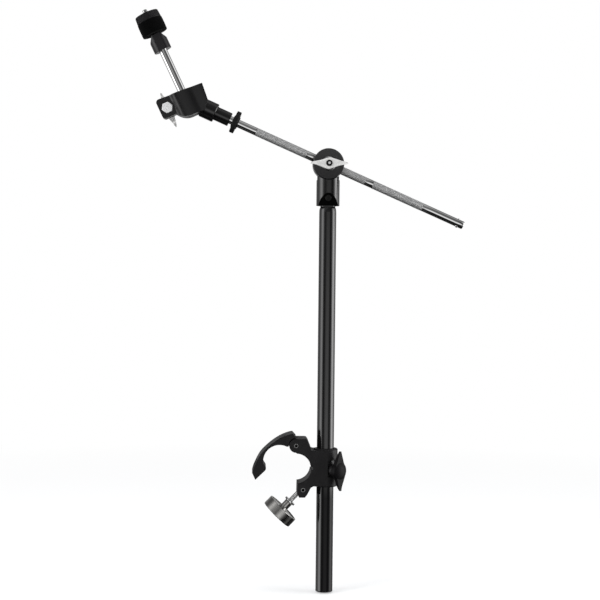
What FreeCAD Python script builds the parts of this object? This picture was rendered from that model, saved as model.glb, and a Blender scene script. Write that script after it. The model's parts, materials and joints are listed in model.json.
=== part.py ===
import FreeCAD, Part
import math
import os

# Cymbal boom stand: a rack clamp that holds a vertical tube, a boom head on top of the tube,
# a boom rod, and a tilter that carries a cymbal rod with its sleeve, felt and cap nut.
# Millimetres. The origin is the centre of the rack clamp's seat. X points right, Y to the rear,
# Z up. The rack tube that the clamp grips runs along Y.

V = FreeCAD.Vector
X_AXIS = V(1, 0, 0)
Y_AXIS = V(0, 1, 0)
Z_AXIS = V(0, 0, 1)
ORIGIN = V(0, 0, 0)

# Running gap between parts that turn or slide on each other, and between fixed neighbours.
RUN = 0.05
SNUG = 0.02

# Rack clamp
SEAT_R = 19.15
CLAMP_HALF_DEPTH = 18.25
UPPER_PIN = V(-0.1, 0, 29.2)
LOWER_PIN = V(9.2, 0, -27.6)
PIN_R = 2.7
PIN_BORE_R = 2.0
PIN_RECESS = 0.4
UPPER_LUG_R = 9.0
RELIEF_R = 2.2
LUG_HOLE_R = 1.5
LUG_HOLE_X = 6.5
EDGE_ROUND = 1.0
JAW_OPEN_DEG = 47
TONGUE_R = 8.5
TONGUE_HALF = 7.9
TONGUE_GAP = 0.2
JAW_ARC_R = 20.9
JAW_CLEAR_R = 9.7

# Swing bolt and its knob. Distances run along the bolt from its pin.
BOLT_OPEN_DEG = 46
BOLT_BACK_DEG = 20
BOLT_R = 3.0
BOLT_LENGTH = 45.0
EYE_R = 5.5
EYE_HALF = 3.8
WASHER_START = 22.3
WASHER_END = 24.6
WASHER_R = 7.7
KNOB_HUB_R = 5.25
KNOB_DISC_START = 35.5
KNOB_END = 48.3
KNOB_R = 22.0

# Tube and the collar round it
TUBE_X = 38.2
TUBE_R = 11.1
TUBE_WALL = 1.5
TUBE_BOTTOM = -160.0
TUBE_TOP = 336.5
CAP_FLANGE = 1.6
COLLAR_R = 16.0
COLLAR_HALF = 24.5
COLLAR_LIP_R = 11.5
LINER_IN_R = 11.15
LINER_OUT_R = 12.6
LINER_HALF = 21.9

# Wing bolt of the collar. Distances run outward from the tube's axis.
WING_BOLT_DEG = -45
WING_BOLT_Z = -3.0
STUD_R = 3.0
BOSS_R = 8.0
WINDOW_HALF_DEG = 35
WINDOW_BOTTOM = -11.5
WINDOW_TOP = 10.0
BOSS_END = 19.8
SHOE_START = 12.7
SHOE_END = 14.2
SHOE_R = 4.3
NUT_START = 15.8
NUT_END = 18.8
NUT_FLATS = 10.0
HANDLE_START = 20.6
HANDLE_END = 27.0
HANDLE_HUB_R = 11.5
HANDLE_DOME_R = 10.7
HANDLE_DOME = 3.0
GRIP_FLATS = 8.6
GRIP_START = 22.1
GRIP_END = 25.0
HANDLE_HALF_SPAN = 25.5

# Boom head
HEAD_Z = 391.6
BASE_R = 15.0
BASE_BOTTOM = 338.0
NECK_R = 9.9
DISC_R = 20.0
SADDLE_R = 20.4
PLATE_FRONT = 8.5
PLATE_REAR = 13.0
FRICTION_FRONT = 7.73
REAR_HALF_REAR = 7.7
HALF_GAP = 0.4
FRONT_FACE = -13.0
BOOM_WASHER_R = 9.0
BOOM_WASHER_THICK = 3.2
BARREL_R = 8.0
BARREL_FRONT = -8.5
HEAD_BOLT_R = 4.0
HEAD_BOLT_TIP = -29.6
BOLT_HEAD_FLATS = 19.0
BOLT_HEAD_THICK = 4.2
ROD_SWING_DEG = 42
PLUG_STUD_R = 6.0
PLUG_STUD_TOP = 357.6
BASE_SCREW_Z = 348.0
BASE_SCREW_R = 4.0

# Boom rod. Distances run along the rod from the head's centre, positive to the right.
BOOM_DOWN_DEG = 23.65
ROD_R = 5.25
POLISH_R = 5.2
ROD_LEFT = -165.0
ROD_RIGHT = 192.0
KNURLS = ((-101.7, -31.0), (-18.6, 52.4), (63.2, 133.7))
STOP_PIN_AT = 184.0
STOP_PIN_R = 1.5
STOP_PIN_HALF = 6.6
STOP_PIN_DEG = 60
RING_CENTRE = -131.3
RING_R = 14.6
RING_HALF = 2.75
RING_HUB_R = 8.0
RING_HUB_HALF = 4.0

# Socket on the boom's left end
TILTER_AT = -201.0
SOCKET_MOUTH = -139.0
SOCKET_STEP = -159.0
SOCKET_END = -178.0
SOCKET_SMALL_R = 8.9
MOUTH_CHAMFER = 0.7
SOCKET_LARGE_R = 12.2
TONGUE_PLATE_HALF = 2.5
TONGUE_PLATE_R = 8.0
SET_SCREW_AT = -149.0
SET_SCREW_R = 2.5

# Cymbal tilter. Its own frame has its origin on the pivot and Z up along the cymbal rod.
ROD_LEAN_DEG = 25.4
SPLIT_HALF = 0.3
HOUSING_R = 22.3
PIVOT_PIN_R = 3.0
PIVOT_PIN_HALF = 11.0
EAR_BOLT_X = -25.9
EAR_BOLT_R = 4.0
EAR_FACE = 8.0
EAR_WASHER_R = 8.2
EAR_WASHER_THICK = 1.4
HEX_FLATS = 13.0
HEX_FLOOR = -4.5
HEX_TOP = -9.8
TILT_LEFT_DEG = 40
TILT_RIGHT_DEG = 25

# Cymbal rod and what it carries, as heights above the tilter's pivot
SLEEVE_BOTTOM = 69.1
SLEEVE_R = 11.5
SLEEVE_SHOULDER = 82.8
SLEEVE_TOP = 91.1
SLEEVE_FLAT = 10.5
SLEEVE_NECK_R = 6.0
SLEEVE_SOCKET = 2.0
SLEEVE_END = 104.0
FELT_BOTTOM = 92.9
FELT_TOP = 110.6
FELT_R = 16.8
FELT_BORE_R = 5.7
CAP_TOP = 120.3
CAP_CROWN = 122.3
CAP_R = 16.3
TIP_Z = 126.5
THREAD_R = 3.0


def line(a, b):
    return Part.LineSegment(a, b).toShape()


def arc(a, middle, b):
    return Part.Arc(a, middle, b).toShape()


def curve(points):
    spline = Part.BSplineCurve()
    spline.interpolate(points)
    return spline.toShape()


def xz(x, z):
    return V(x, 0, z)


def around(centre, radius, degrees):
    """A point on a circle in the XZ plane. 0 points right and 90 points up."""
    a = math.radians(degrees)
    return V(centre.x + radius * math.cos(a), 0, centre.z + radius * math.sin(a))


def sheet(edges):
    return Part.Face(Part.Wire(Part.__sortEdges__(edges)))


def polygon(points):
    return Part.Face(Part.makePolygon(list(points) + [points[0]]))


def thick(face, y0, y1):
    """Extrude a face that lies in the XZ plane from y0 to y1."""
    solid = face.copy()
    solid.translate(V(0, y0, 0))
    return solid.extrude(V(0, y1 - y0, 0))


def cylinder(r, start, end, axis=Z_AXIS, at=ORIGIN):
    return Part.makeCylinder(r, end - start, at + axis * start, axis)


def ring(r_out, r_in, start, end, axis=Z_AXIS, at=ORIGIN):
    hole = cylinder(r_in, start - 1, end + 1, axis, at)
    return cylinder(r_out, start, end, axis, at).cut(hole)


def box(x0, x1, y0, y1, z0, z1):
    return Part.makeBox(x1 - x0, y1 - y0, z1 - z0, V(x0, y0, z0))


def turned(points):
    """Revolve an outline of (radius, height) points about Z."""
    face = polygon([V(r, 0, h) for r, h in points])
    return face.revolve(ORIGIN, Z_AXIS, 360)


def hexagon(flats, start, end, axis, at=ORIGIN):
    """A hexagonal prism along Z, turned to stand along another axis."""
    r = flats / math.sqrt(3)
    corners = [math.radians(60 * i) for i in range(6)]
    face = polygon([V(r * math.cos(a), r * math.sin(a), start) for a in corners])
    prism = face.extrude(V(0, 0, end - start))
    prism.Placement = FreeCAD.Placement(at, FreeCAD.Rotation(Z_AXIS, axis))
    return prism


def soften(solid, radius, chosen):
    """Fillet the edges for which chosen(edge) is true."""
    edges = [e for e in solid.Edges if chosen(e)]
    return solid.makeFillet(radius, edges)


def on_side_faces(half):
    """Chooses the edges that lie in either of the planes y = -half and y = half."""

    def chosen(edge):
        b = edge.BoundBox
        flat = b.YLength < 1e-3
        return flat and abs(abs(b.YMin) - half) < 1e-3

    return chosen


def turn_y(solid, degrees, centre):
    solid.rotate(centre, Y_AXIS, degrees)
    return solid


def to_rest_jaw(solid):
    """Jaw shapes are drawn closed round the seat, then swung open."""
    return turn_y(solid, JAW_OPEN_DEG, UPPER_PIN)


def to_rest_bolt(solid):
    """Swing bolt shapes are drawn pointing left, then swung down."""
    return turn_y(solid, -BOLT_OPEN_DEG, LOWER_PIN)


def to_wing_bolt(solid):
    """Drawn along X from the tube's axis, then turned to the wing bolt's direction."""
    solid.translate(V(TUBE_X, 0, WING_BOLT_Z))
    solid.rotate(V(TUBE_X, 0, 0), Z_AXIS, WING_BOLT_DEG)
    return solid


def to_boom(solid):
    """Drawn along X from the head's centre, then turned to the boom's slope."""
    solid.translate(V(TUBE_X, 0, HEAD_Z))
    return turn_y(solid, BOOM_DOWN_DEG, V(TUBE_X, 0, HEAD_Z))


def tilter_pivot():
    a = math.radians(BOOM_DOWN_DEG)
    x = TUBE_X + TILTER_AT * math.cos(a)
    z = HEAD_Z - TILTER_AT * math.sin(a)
    return V(x, 0, z)


def to_tilter(solid):
    """Drawn upright about the pivot, then leaned to the left with the cymbal rod."""
    solid.translate(tilter_pivot())
    return turn_y(solid, -ROD_LEAN_DEG, tilter_pivot())


# ---------------------------------------------------------------- rack clamp


def clamp_profile():
    seat_low = around(ORIGIN, SEAT_R, -85)
    seat_high = around(ORIGIN, SEAT_R, 88)
    lug_top = around(UPPER_PIN, UPPER_LUG_R, 90)
    lug_left = around(UPPER_PIN, UPPER_LUG_R, 180)
    lug_low = around(UPPER_PIN, UPPER_LUG_R, 270)
    corners = [
        seat_low,
        xz(1.5, -33.0),
        xz(4.5, -37.5),
        xz(11.5, -37.5),
        xz(14.3, -34.2),
        xz(19.3, -24.6),
        xz(22.5, -23.0),
        xz(TUBE_X, -23.0),
        xz(TUBE_X, 23.0),
        xz(22.5, 23.0),
        xz(20.0, 23.6),
        xz(15.0, 35.9),
        xz(12.8, 38.1),
        lug_top,
    ]
    edges = [line(a, b) for a, b in zip(corners, corners[1:])]
    edges.append(arc(lug_top, lug_left, lug_low))
    edges.append(line(lug_low, seat_high))
    edges.append(arc(seat_high, around(ORIGIN, SEAT_R, 0), seat_low))
    return sheet(edges)


def clamp_block():
    """The C-shaped part, full depth at the seat and narrower towards the collar."""
    half = CLAMP_HALF_DEPTH
    block = thick(clamp_profile(), -half, half)
    block = soften(block, EDGE_ROUND, on_side_faces(half))
    taper_x = 24.0
    rear = [(-20.0, half), (taper_x, half), (TUBE_X, COLLAR_R)]
    front = [(x, -y) for x, y in reversed(rear)]
    slab = polygon([V(x, y, -60) for x, y in rear + front]).extrude(V(0, 0, 120))
    return block.common(slab)


def collar():
    rim = 1.2
    points = [
        (0, -COLLAR_HALF),
        (COLLAR_R - rim, -COLLAR_HALF),
        (COLLAR_R, -COLLAR_HALF + rim),
        (COLLAR_R, COLLAR_HALF - rim),
        (COLLAR_R - rim, COLLAR_HALF),
        (0, COLLAR_HALF),
    ]
    tube = turned(points)
    tube.translate(V(TUBE_X, 0, 0))
    return tube


def collar_bores():
    axis = V(TUBE_X, 0, 0)
    through = cylinder(COLLAR_LIP_R, -40, 40, Z_AXIS, axis)
    inner = cylinder(LINER_OUT_R + RUN, -LINER_HALF - RUN, LINER_HALF + RUN, Z_AXIS, axis)
    return through.fuse(inner)


def collar_window():
    """The opening through the collar's wall that the wing bolt's boss stands in."""
    reach = 30.0
    points = [V(TUBE_X, 0, WINDOW_BOTTOM)]
    for offset in (-WINDOW_HALF_DEG, 0, WINDOW_HALF_DEG):
        a = math.radians(WING_BOLT_DEG + offset)
        points.append(V(TUBE_X + reach * math.cos(a), reach * math.sin(a), WINDOW_BOTTOM))
    return polygon(points).extrude(V(0, 0, WINDOW_TOP - WINDOW_BOTTOM))


def tongue_slot():
    half = TONGUE_HALF + TONGUE_GAP
    return cylinder(TONGUE_R + 0.55, -half, half, Y_AXIS, UPPER_PIN)


def bolt_slot():
    """Room in the lower lug for the bolt's eye, and for its shank from closed to swung back."""
    half = EYE_HALF + 0.2
    width = BOLT_R + 0.4
    reach = 30.0
    slot = cylinder(EYE_R + 0.5, -half, half, Y_AXIS, LOWER_PIN)
    swing = BOLT_OPEN_DEG + BOLT_BACK_DEG
    for degrees in (0, swing / 2, swing):
        path = box(-reach, 0, -half, half, -width, width)
        path.translate(LOWER_PIN)
        slot = slot.fuse(turn_y(path, -degrees, LOWER_PIN))
    tips = [around(LOWER_PIN, reach, 180 + d) for d in (0, swing / 2, swing)]
    wedge = thick(polygon([LOWER_PIN] + tips), -half, half)
    return slot.fuse(wedge)


def clamp_body():
    body = clamp_block().fuse(collar())
    boss = to_wing_bolt(cylinder(BOSS_R, 8, BOSS_END, X_AXIS))
    body = body.cut(collar_window())
    body = body.fuse(boss)
    body = body.cut(collar_bores())
    body = body.cut(tongue_slot())
    body = body.cut(bolt_slot())
    for pin in (UPPER_PIN, LOWER_PIN):
        body = body.cut(cylinder(PIN_R + SNUG, -30, 30, Y_AXIS, pin))
    body = body.cut(cylinder(RELIEF_R, -30, 30, Y_AXIS, xz(SEAT_R + 0.3, 0)))
    body = body.cut(cylinder(LUG_HOLE_R, 34, 45, Z_AXIS, V(LUG_HOLE_X, 0, 0)))
    pocket = hexagon(NUT_FLATS + 2 * SNUG, LINER_OUT_R - 2, NUT_END + SNUG, X_AXIS)
    body = body.cut(to_wing_bolt(pocket))
    return body.cut(to_wing_bolt(cylinder(STUD_R + 0.2, 10, BOSS_END + 2, X_AXIS)))


def lug_pin(at):
    half = CLAMP_HALF_DEPTH - PIN_RECESS
    return ring(PIN_R, PIN_BORE_R, -half, half, Y_AXIS, at)


def jaw_profile():
    """The jaw's full-width part, drawn closed round the seat."""
    outer = [
        xz(-14.6, 36.6),
        xz(-19.0, 28.3),
        xz(-22.3, 17.2),
        xz(-23.6, 8.1),
        xz(-24.0, -0.5),
        xz(-23.1, -12.5),
        xz(-20.0, -22.1),
        xz(-16.6, -30.0),
        xz(-12.9, -36.0),
    ]
    tip = xz(-3.5, -39.0)
    tip_inner = xz(-3.7, -22.0)
    pad = xz(-6.3, -18.15)
    arc_start = around(ORIGIN, JAW_ARC_R, 231)
    arc_end = around(ORIGIN, JAW_ARC_R, 111)
    hollow_low = around(UPPER_PIN, JAW_CLEAR_R, 233)
    hollow_high = around(UPPER_PIN, JAW_CLEAR_R, 139)
    top_inner = xz(-8.3, 36.6)
    edges = [
        curve(outer),
        line(outer[-1], tip),
        line(tip, tip_inner),
        curve([tip_inner, pad, xz(-10.2, -17.3), arc_start]),
        arc(arc_start, around(ORIGIN, JAW_ARC_R, 170), arc_end),
        line(arc_end, hollow_low),
        arc(hollow_low, around(UPPER_PIN, JAW_CLEAR_R, 190), hollow_high),
        line(hollow_high, top_inner),
        line(top_inner, outer[0]),
    ]
    return sheet(edges)


def jaw_tongue():
    """The disc between the lug's cheeks, and the web that joins it to the jaw."""
    disc = cylinder(TONGUE_R, -TONGUE_HALF, TONGUE_HALF, Y_AXIS, UPPER_PIN)
    reach = 11.5
    points = [UPPER_PIN] + [around(UPPER_PIN, reach, d) for d in (146, 170, 200, 234)]
    web = thick(polygon(points), -TONGUE_HALF, TONGUE_HALF)
    return disc.fuse(web)


def jaw_openings():
    """The fork for the bolt's shank and the deeper pocket that seats its washer."""
    fork_half = BOLT_R + 0.5
    pocket_half = WASHER_R + 0.6
    pocket_floor = LOWER_PIN.x - WASHER_START + 0.1
    at = V(0, 0, LOWER_PIN.z)
    fork = cylinder(fork_half, -40, 10, X_AXIS, at)
    fork = fork.fuse(box(-40, 10, -fork_half, fork_half, -60, LOWER_PIN.z))
    pocket = cylinder(pocket_half, -40, pocket_floor, X_AXIS, at)
    pocket = pocket.fuse(box(-40, pocket_floor, -pocket_half, pocket_half, -60, LOWER_PIN.z))
    return fork.fuse(pocket)


def clamp_jaw():
    half = CLAMP_HALF_DEPTH
    jaw = thick(jaw_profile(), -half, half)
    jaw = soften(jaw, EDGE_ROUND, on_side_faces(half))
    jaw = jaw.fuse(jaw_tongue())
    jaw = jaw.cut(jaw_openings())
    jaw = jaw.cut(cylinder(PIN_R + RUN, -30, 30, Y_AXIS, UPPER_PIN))
    return to_rest_jaw(jaw.removeSplitter())


def along_bolt(points):
    """Revolve (radius, distance from the pin) about the swing bolt's line, which points left."""
    solid = turned(points)
    solid.rotate(ORIGIN, Y_AXIS, -90)
    solid.translate(LOWER_PIN)
    return to_rest_bolt(solid)


def swing_bolt():
    tip = 0.7
    shank = along_bolt([
        (0, 3),
        (BOLT_R, 3),
        (BOLT_R, BOLT_LENGTH - tip),
        (BOLT_R - tip, BOLT_LENGTH),
        (0, BOLT_LENGTH),
    ])
    eye = cylinder(EYE_R, -EYE_HALF, EYE_HALF, Y_AXIS, LOWER_PIN)
    bolt = shank.fuse(eye)
    return bolt.cut(cylinder(PIN_R + RUN, -10, 10, Y_AXIS, LOWER_PIN))


def knob_washer():
    edge = 0.4
    inner = BOLT_R + RUN
    return along_bolt([
        (inner, WASHER_START),
        (WASHER_R - edge, WASHER_START),
        (WASHER_R, WASHER_START + edge),
        (WASHER_R, WASHER_END - edge),
        (WASHER_R - edge, WASHER_END),
        (inner, WASHER_END),
    ])


def clamp_knob():
    bore = BOLT_R + 0.03
    rim = 0.4
    lip = 2.4
    dish = 1.0
    start = WASHER_END + RUN
    return along_bolt([
        (bore, start),
        (KNOB_HUB_R + 0.9, start),
        (KNOB_HUB_R, start + 0.9),
        (KNOB_HUB_R, KNOB_DISC_START - 1.5),
        (KNOB_HUB_R + 1.5, KNOB_DISC_START + dish),
        (KNOB_R - lip, KNOB_DISC_START + dish),
        (KNOB_R - lip, KNOB_DISC_START),
        (KNOB_R - rim, KNOB_DISC_START),
        (KNOB_R, KNOB_DISC_START + rim),
        (KNOB_R, KNOB_END - rim),
        (KNOB_R - rim, KNOB_END),
        (KNOB_R - lip, KNOB_END),
        (KNOB_R - lip - 0.6, KNOB_END - dish),
        (0, KNOB_END - dish),
        (0, BOLT_LENGTH + 0.5),
        (bore, BOLT_LENGTH + 0.5),
    ])


# ---------------------------------------------------------------- collar's wing bolt


def collar_nut():
    nut = hexagon(NUT_FLATS, NUT_START, NUT_END, X_AXIS)
    nut = nut.cut(cylinder(STUD_R + 0.03, 0, 40, X_AXIS))
    return to_wing_bolt(nut)


def pressure_shoe():
    shoe = cylinder(SHOE_R, SHOE_START, SHOE_END, X_AXIS)
    shoe = soften(shoe, 0.3, lambda e: True)
    return to_wing_bolt(shoe)


def collar_stud():
    """The stud reaches from the shoe into the moulded handle."""
    stud = cylinder(STUD_R, SHOE_END + RUN, HANDLE_END - 1, X_AXIS)
    grip = hexagon(GRIP_FLATS, GRIP_START, GRIP_END, X_AXIS)
    return to_wing_bolt(stud.fuse(grip))


def collar_wing():
    """A moulded handle with a round hub, a domed cap and two pointed wings."""
    dome_r = HANDLE_DOME_R
    span = HANDLE_HALF_SPAN
    hub = cylinder(HANDLE_HUB_R, HANDLE_START, HANDLE_END, X_AXIS)
    hub = soften(hub, 1.2, lambda e: e.BoundBox.XLength < 1e-3 and e.BoundBox.XMin > HANDLE_END - 1)
    dome_sphere_r = (dome_r**2 + HANDLE_DOME**2) / (2 * HANDLE_DOME)
    dome = Part.makeSphere(dome_sphere_r, V(HANDLE_END + HANDLE_DOME - dome_sphere_r, 0, 0))
    dome = dome.common(cylinder(dome_r, HANDLE_END - 1, HANDLE_END + HANDLE_DOME + 1, X_AXIS))
    wings = wing_solid(
        [(2.5, 9.6), (8.0, 8.2), (17.0, 4.4), (span, 1.6)],
        [(span, -0.6), (18.0, -3.6), (9.0, -6.6), (0.0, -9.6)],
        [(0, 0.8), (9, 1.0), (17, 1.9), (span, 4.6)],
        [(span, 6.6), (18, 6.2), (9, 6.4), (0, 6.4)],
    )
    wings.rotate(ORIGIN, Y_AXIS, 90)
    wings.translate(V(HANDLE_START, 0, 0))
    handle = hub.fuse(wings).fuse(dome)
    socket = hexagon(GRIP_FLATS + 2 * SNUG, GRIP_START - SNUG, GRIP_END + SNUG, X_AXIS)
    handle = handle.cut(cylinder(STUD_R + SNUG, HANDLE_START - 1, HANDLE_END - 1 + SNUG, X_AXIS))
    return to_wing_bolt(handle.cut(socket))


def tube_liner():
    """A split sleeve that sits in the collar's groove. Its slot faces away from the wing bolt."""
    sleeve = ring(LINER_OUT_R, LINER_IN_R, -LINER_HALF, LINER_HALF)
    slot = box(0, 20, -1.5, 1.5, -40, 40)
    slot.rotate(ORIGIN, Z_AXIS, WING_BOLT_DEG + 180)
    sleeve = sleeve.cut(slot)
    sleeve.translate(V(TUBE_X, 0, 0))
    return sleeve


# ---------------------------------------------------------------- tube


def boom_tube():
    """A tube whose top is swaged in round the plug of the boom head."""
    inner = TUBE_R - TUBE_WALL
    mouth = 8.4
    top = TUBE_TOP
    profile = [(0, 6.5), (0.25, 3.4), (1.0, 1.0), (1.9, 0)]
    shoulder = [V(TUBE_R - inset, 0, top - below) for inset, below in profile]
    edges = [
        line(V(inner, 0, TUBE_BOTTOM), V(TUBE_R, 0, TUBE_BOTTOM)),
        line(V(TUBE_R, 0, TUBE_BOTTOM), shoulder[0]),
        curve(shoulder),
        line(shoulder[-1], V(mouth, 0, top)),
        line(V(mouth, 0, top), V(mouth, 0, top - 2.5)),
        line(V(mouth, 0, top - 2.5), V(inner, 0, top - 5.5)),
        line(V(inner, 0, top - 5.5), V(inner, 0, TUBE_BOTTOM)),
    ]
    tube = sheet(edges).revolve(ORIGIN, Z_AXIS, 360)
    tube.translate(V(TUBE_X, 0, 0))
    return tube


def tube_end_cap():
    inner = TUBE_R - TUBE_WALL - SNUG
    edge = 1.2
    low = TUBE_BOTTOM - CAP_FLANGE
    points = [
        (0, low),
        (TUBE_R - edge, low),
        (TUBE_R - 0.35, low + 0.35),
        (TUBE_R, low + edge),
        (TUBE_R, TUBE_BOTTOM - SNUG),
        (inner, TUBE_BOTTOM - SNUG),
        (inner, TUBE_BOTTOM + 12),
        (inner - 2, TUBE_BOTTOM + 12),
        (inner - 2, TUBE_BOTTOM + 1),
        (0, TUBE_BOTTOM + 1),
    ]
    cap = turned(points)
    cap.translate(V(TUBE_X, 0, 0))
    return cap


def tube_plug():
    """The plug fills the tube's mouth, and its stud goes up into the boom head's base."""
    inner = TUBE_R - TUBE_WALL - SNUG
    points = [
        (0, TUBE_TOP - 26),
        (inner, TUBE_TOP - 26),
        (inner, TUBE_TOP - 6.2),
        (8.3, TUBE_TOP - 3.4),
        (8.3, TUBE_TOP),
        (PLUG_STUD_R, TUBE_TOP),
        (PLUG_STUD_R, PLUG_STUD_TOP - 0.6),
        (PLUG_STUD_R - 0.6, PLUG_STUD_TOP),
        (0, PLUG_STUD_TOP),
    ]
    plug = turned(points)
    plug.translate(V(TUBE_X, 0, 0))
    return plug


# ---------------------------------------------------------------- boom head


def rod_swing_room():
    """The wedge of the base that the boom rod swings through, on both sides."""
    centre = xz(TUBE_X, HEAD_Z)
    a = math.radians(ROD_SWING_DEG)
    apex = (ROD_R + 0.3) / math.cos(a)
    reach = 30.0
    drop = apex + reach * math.tan(a)
    shape = [
        centre + xz(0, -apex),
        centre + xz(reach, -drop),
        centre + xz(reach, reach),
        centre + xz(-reach, reach),
        centre + xz(-reach, -drop),
    ]
    return thick(polygon(shape), -ROD_R - 0.6, ROD_R + 0.6)


def base_scoop():
    """The slanted cut in the lower front, which gives access to the set screw."""
    depth_at_bottom = -BASE_R / 2
    height = 16.5
    reach = -2 * BASE_R
    slope = height / (BASE_R / 2)
    below = BASE_BOTTOM - 5
    face = polygon([
        V(0, depth_at_bottom, BASE_BOTTOM),
        V(0, reach, BASE_BOTTOM + slope * (depth_at_bottom - reach)),
        V(0, reach, below),
        V(0, depth_at_bottom, below),
    ])
    cut = face.extrude(V(60, 0, 0))
    cut.translate(V(TUBE_X - 30, 0, 0))
    return cut


def tilter_base():
    axis = V(TUBE_X, 0, 0)
    head = V(TUBE_X, 0, HEAD_Z)
    base = cylinder(BASE_R, BASE_BOTTOM, HEAD_Z, Z_AXIS, axis)
    base = soften(base, 0.6, lambda e: e.BoundBox.ZMax < BASE_BOTTOM + 1)
    base = base.fuse(cylinder(NECK_R, TUBE_TOP + 0.1, BASE_BOTTOM + 1, Z_AXIS, axis))
    base = base.cut(rod_swing_room())
    base = base.cut(cylinder(SADDLE_R, -30, PLATE_FRONT, Y_AXIS, head))
    base = base.cut(cylinder(SADDLE_R, PLATE_REAR, 30, Y_AXIS, head))
    plate = cylinder(DISC_R, PLATE_FRONT, PLATE_REAR, Y_AXIS, head)
    plate = soften(plate, 0.8, lambda e: e.BoundBox.YMin > PLATE_REAR - 0.5)
    base = base.fuse(plate)
    base = base.cut(base_scoop())
    base = base.cut(cylinder(PLUG_STUD_R + SNUG, 300, PLUG_STUD_TOP + 0.4, Z_AXIS, axis))
    base = base.cut(cylinder(BARREL_R + RUN, 0, 30, Y_AXIS, head))
    base = base.cut(cylinder(BASE_SCREW_R + SNUG, -20, -5, Y_AXIS, V(TUBE_X, 0, BASE_SCREW_Z)))
    return base.removeSplitter()


def base_screw():
    """A set screw with a hexagonal socket. It bears on the plug's stud."""
    at = V(TUBE_X, 0, BASE_SCREW_Z)
    screw = cylinder(BASE_SCREW_R, -12.6, -6.1, Y_AXIS, at)
    screw = soften(screw, 0.4, lambda e: e.BoundBox.YLength < 1e-3 and e.BoundBox.YMin < -12)
    socket = hexagon(4.0, -14, -9.2, Y_AXIS, at)
    return screw.cut(socket)


def friction_disc():
    centre = V(TUBE_X, 0, HEAD_Z)
    return ring(DISC_R - 0.4, BARREL_R + 0.1, FRICTION_FRONT, PLATE_FRONT - SNUG, Y_AXIS, centre)


def rod_path(radius):
    return cylinder(radius, -260, 260, X_AXIS)


def rod_clamp_front():
    """The front disc: a groove for the rod at the rear, and a bore for the bolt's barrel."""
    disc = cylinder(DISC_R, FRONT_FACE, -HALF_GAP, Y_AXIS)
    disc = soften(disc, 1.3, lambda e: e.BoundBox.YMax < FRONT_FACE + 1)
    disc = disc.cut(rod_path(ROD_R + RUN))
    disc = disc.cut(cylinder(BARREL_R + RUN, BARREL_FRONT - 0.1, 10, Y_AXIS))
    disc = disc.cut(cylinder(HEAD_BOLT_R + RUN, -30, 10, Y_AXIS))
    return to_boom(disc)


def rod_clamp_rear():
    disc = cylinder(DISC_R, HALF_GAP, REAR_HALF_REAR, Y_AXIS)
    disc = disc.cut(rod_path(ROD_R + RUN))
    disc = disc.cut(cylinder(BARREL_R + RUN, -10, 30, Y_AXIS))
    return to_boom(disc)


def head_bolt():
    """A bolt with a barrel that the rod passes through, and a head behind the base plate."""
    barrel = cylinder(BARREL_R, BARREL_FRONT, PLATE_REAR + RUN, Y_AXIS)
    shank = cylinder(HEAD_BOLT_R, HEAD_BOLT_TIP, BARREL_FRONT + 1, Y_AXIS)
    shank = soften(shank, 1.6, lambda e: e.BoundBox.YMax < HEAD_BOLT_TIP + 0.5)
    top = PLATE_REAR + BOLT_HEAD_THICK
    head = hexagon(BOLT_HEAD_FLATS, PLATE_REAR + RUN, top, Y_AXIS)
    crown = cylinder(10.6, PLATE_REAR, top, Y_AXIS)
    crown = crown.makeChamfer(0.9, [e for e in crown.Edges if e.BoundBox.YMin > top - 0.5])
    bolt = barrel.fuse(shank).fuse(head.common(crown))
    return to_boom(bolt.cut(rod_path(ROD_R + RUN)))


def wing_solid(top_edge, bottom_edge, low_edge, high_edge):
    """Two point-symmetric wings along X.

    top_edge and bottom_edge give one wing's outline seen along the axis, as (x, y).
    low_edge and high_edge give both wings' heights above the base, as (distance from the axis, z).
    """
    right_top = [V(x, y, 0) for x, y in top_edge]
    right_low = [V(x, y, 0) for x, y in bottom_edge]
    left_top = [V(-p.x, -p.y, 0) for p in right_top]
    left_low = [V(-p.x, -p.y, 0) for p in right_low]
    edges = [
        curve(right_top),
        line(right_top[-1], right_low[0]),
        curve(right_low),
        line(right_low[-1], left_top[0]),
        curve(left_top),
        line(left_top[-1], left_low[0]),
        curve(left_low),
        line(left_low[-1], right_top[0]),
    ]
    plan = sheet(edges).extrude(V(0, 0, 40))
    low = [xz(x, z) for x, z in low_edge]
    high = [xz(x, z) for x, z in high_edge]
    outline = [curve(low), line(low[-1], high[0]), curve(high), line(high[-1], low[0])]
    side = thick(sheet(outline), -20, 20)
    other = side.copy()
    other.rotate(ORIGIN, Z_AXIS, 180)
    return plan.common(side.fuse(other))


def wing_nut(bore):
    """A forged wing nut on a conical hub. Its base is at z = 0 and its wings lie along X."""
    hub = turned([(0, 0), (7.3, 0), (7.3, 1.2), (6.2, 9.6), (5.4, 10.4), (0, 10.4)])
    wings = wing_solid(
        [(2.0, 7.2), (7.9, 5.3), (16.0, 2.6), (23.9, 0.9)],
        [(23.9, -0.5), (18.0, -2.3), (11.5, -3.6), (6.0, -5.4), (-0.6, -7.2)],
        [(0, 3.0), (7.2, 4.0), (11.5, 7.3), (23.9, 9.6)],
        [(23.9, 12.8), (19.0, 13.4), (10.0, 11.4), (5.0, 10.6), (0, 10.4)],
    )
    nut = hub.fuse(wings)
    return nut.cut(cylinder(bore, -1, 20))


def boom_washer():
    """A thick washer with a chamfered front rim."""
    rear = FRONT_FACE - RUN
    front = rear - BOOM_WASHER_THICK
    solid = cylinder(BOOM_WASHER_R, front, rear, Y_AXIS)
    solid = solid.makeChamfer(0.8, [e for e in solid.Edges if e.BoundBox.YMax < front + 0.5])
    solid = solid.cut(cylinder(HEAD_BOLT_R + RUN, front - 1, rear + 1, Y_AXIS))
    solid.translate(V(TUBE_X, 0, HEAD_Z))
    return solid


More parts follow.
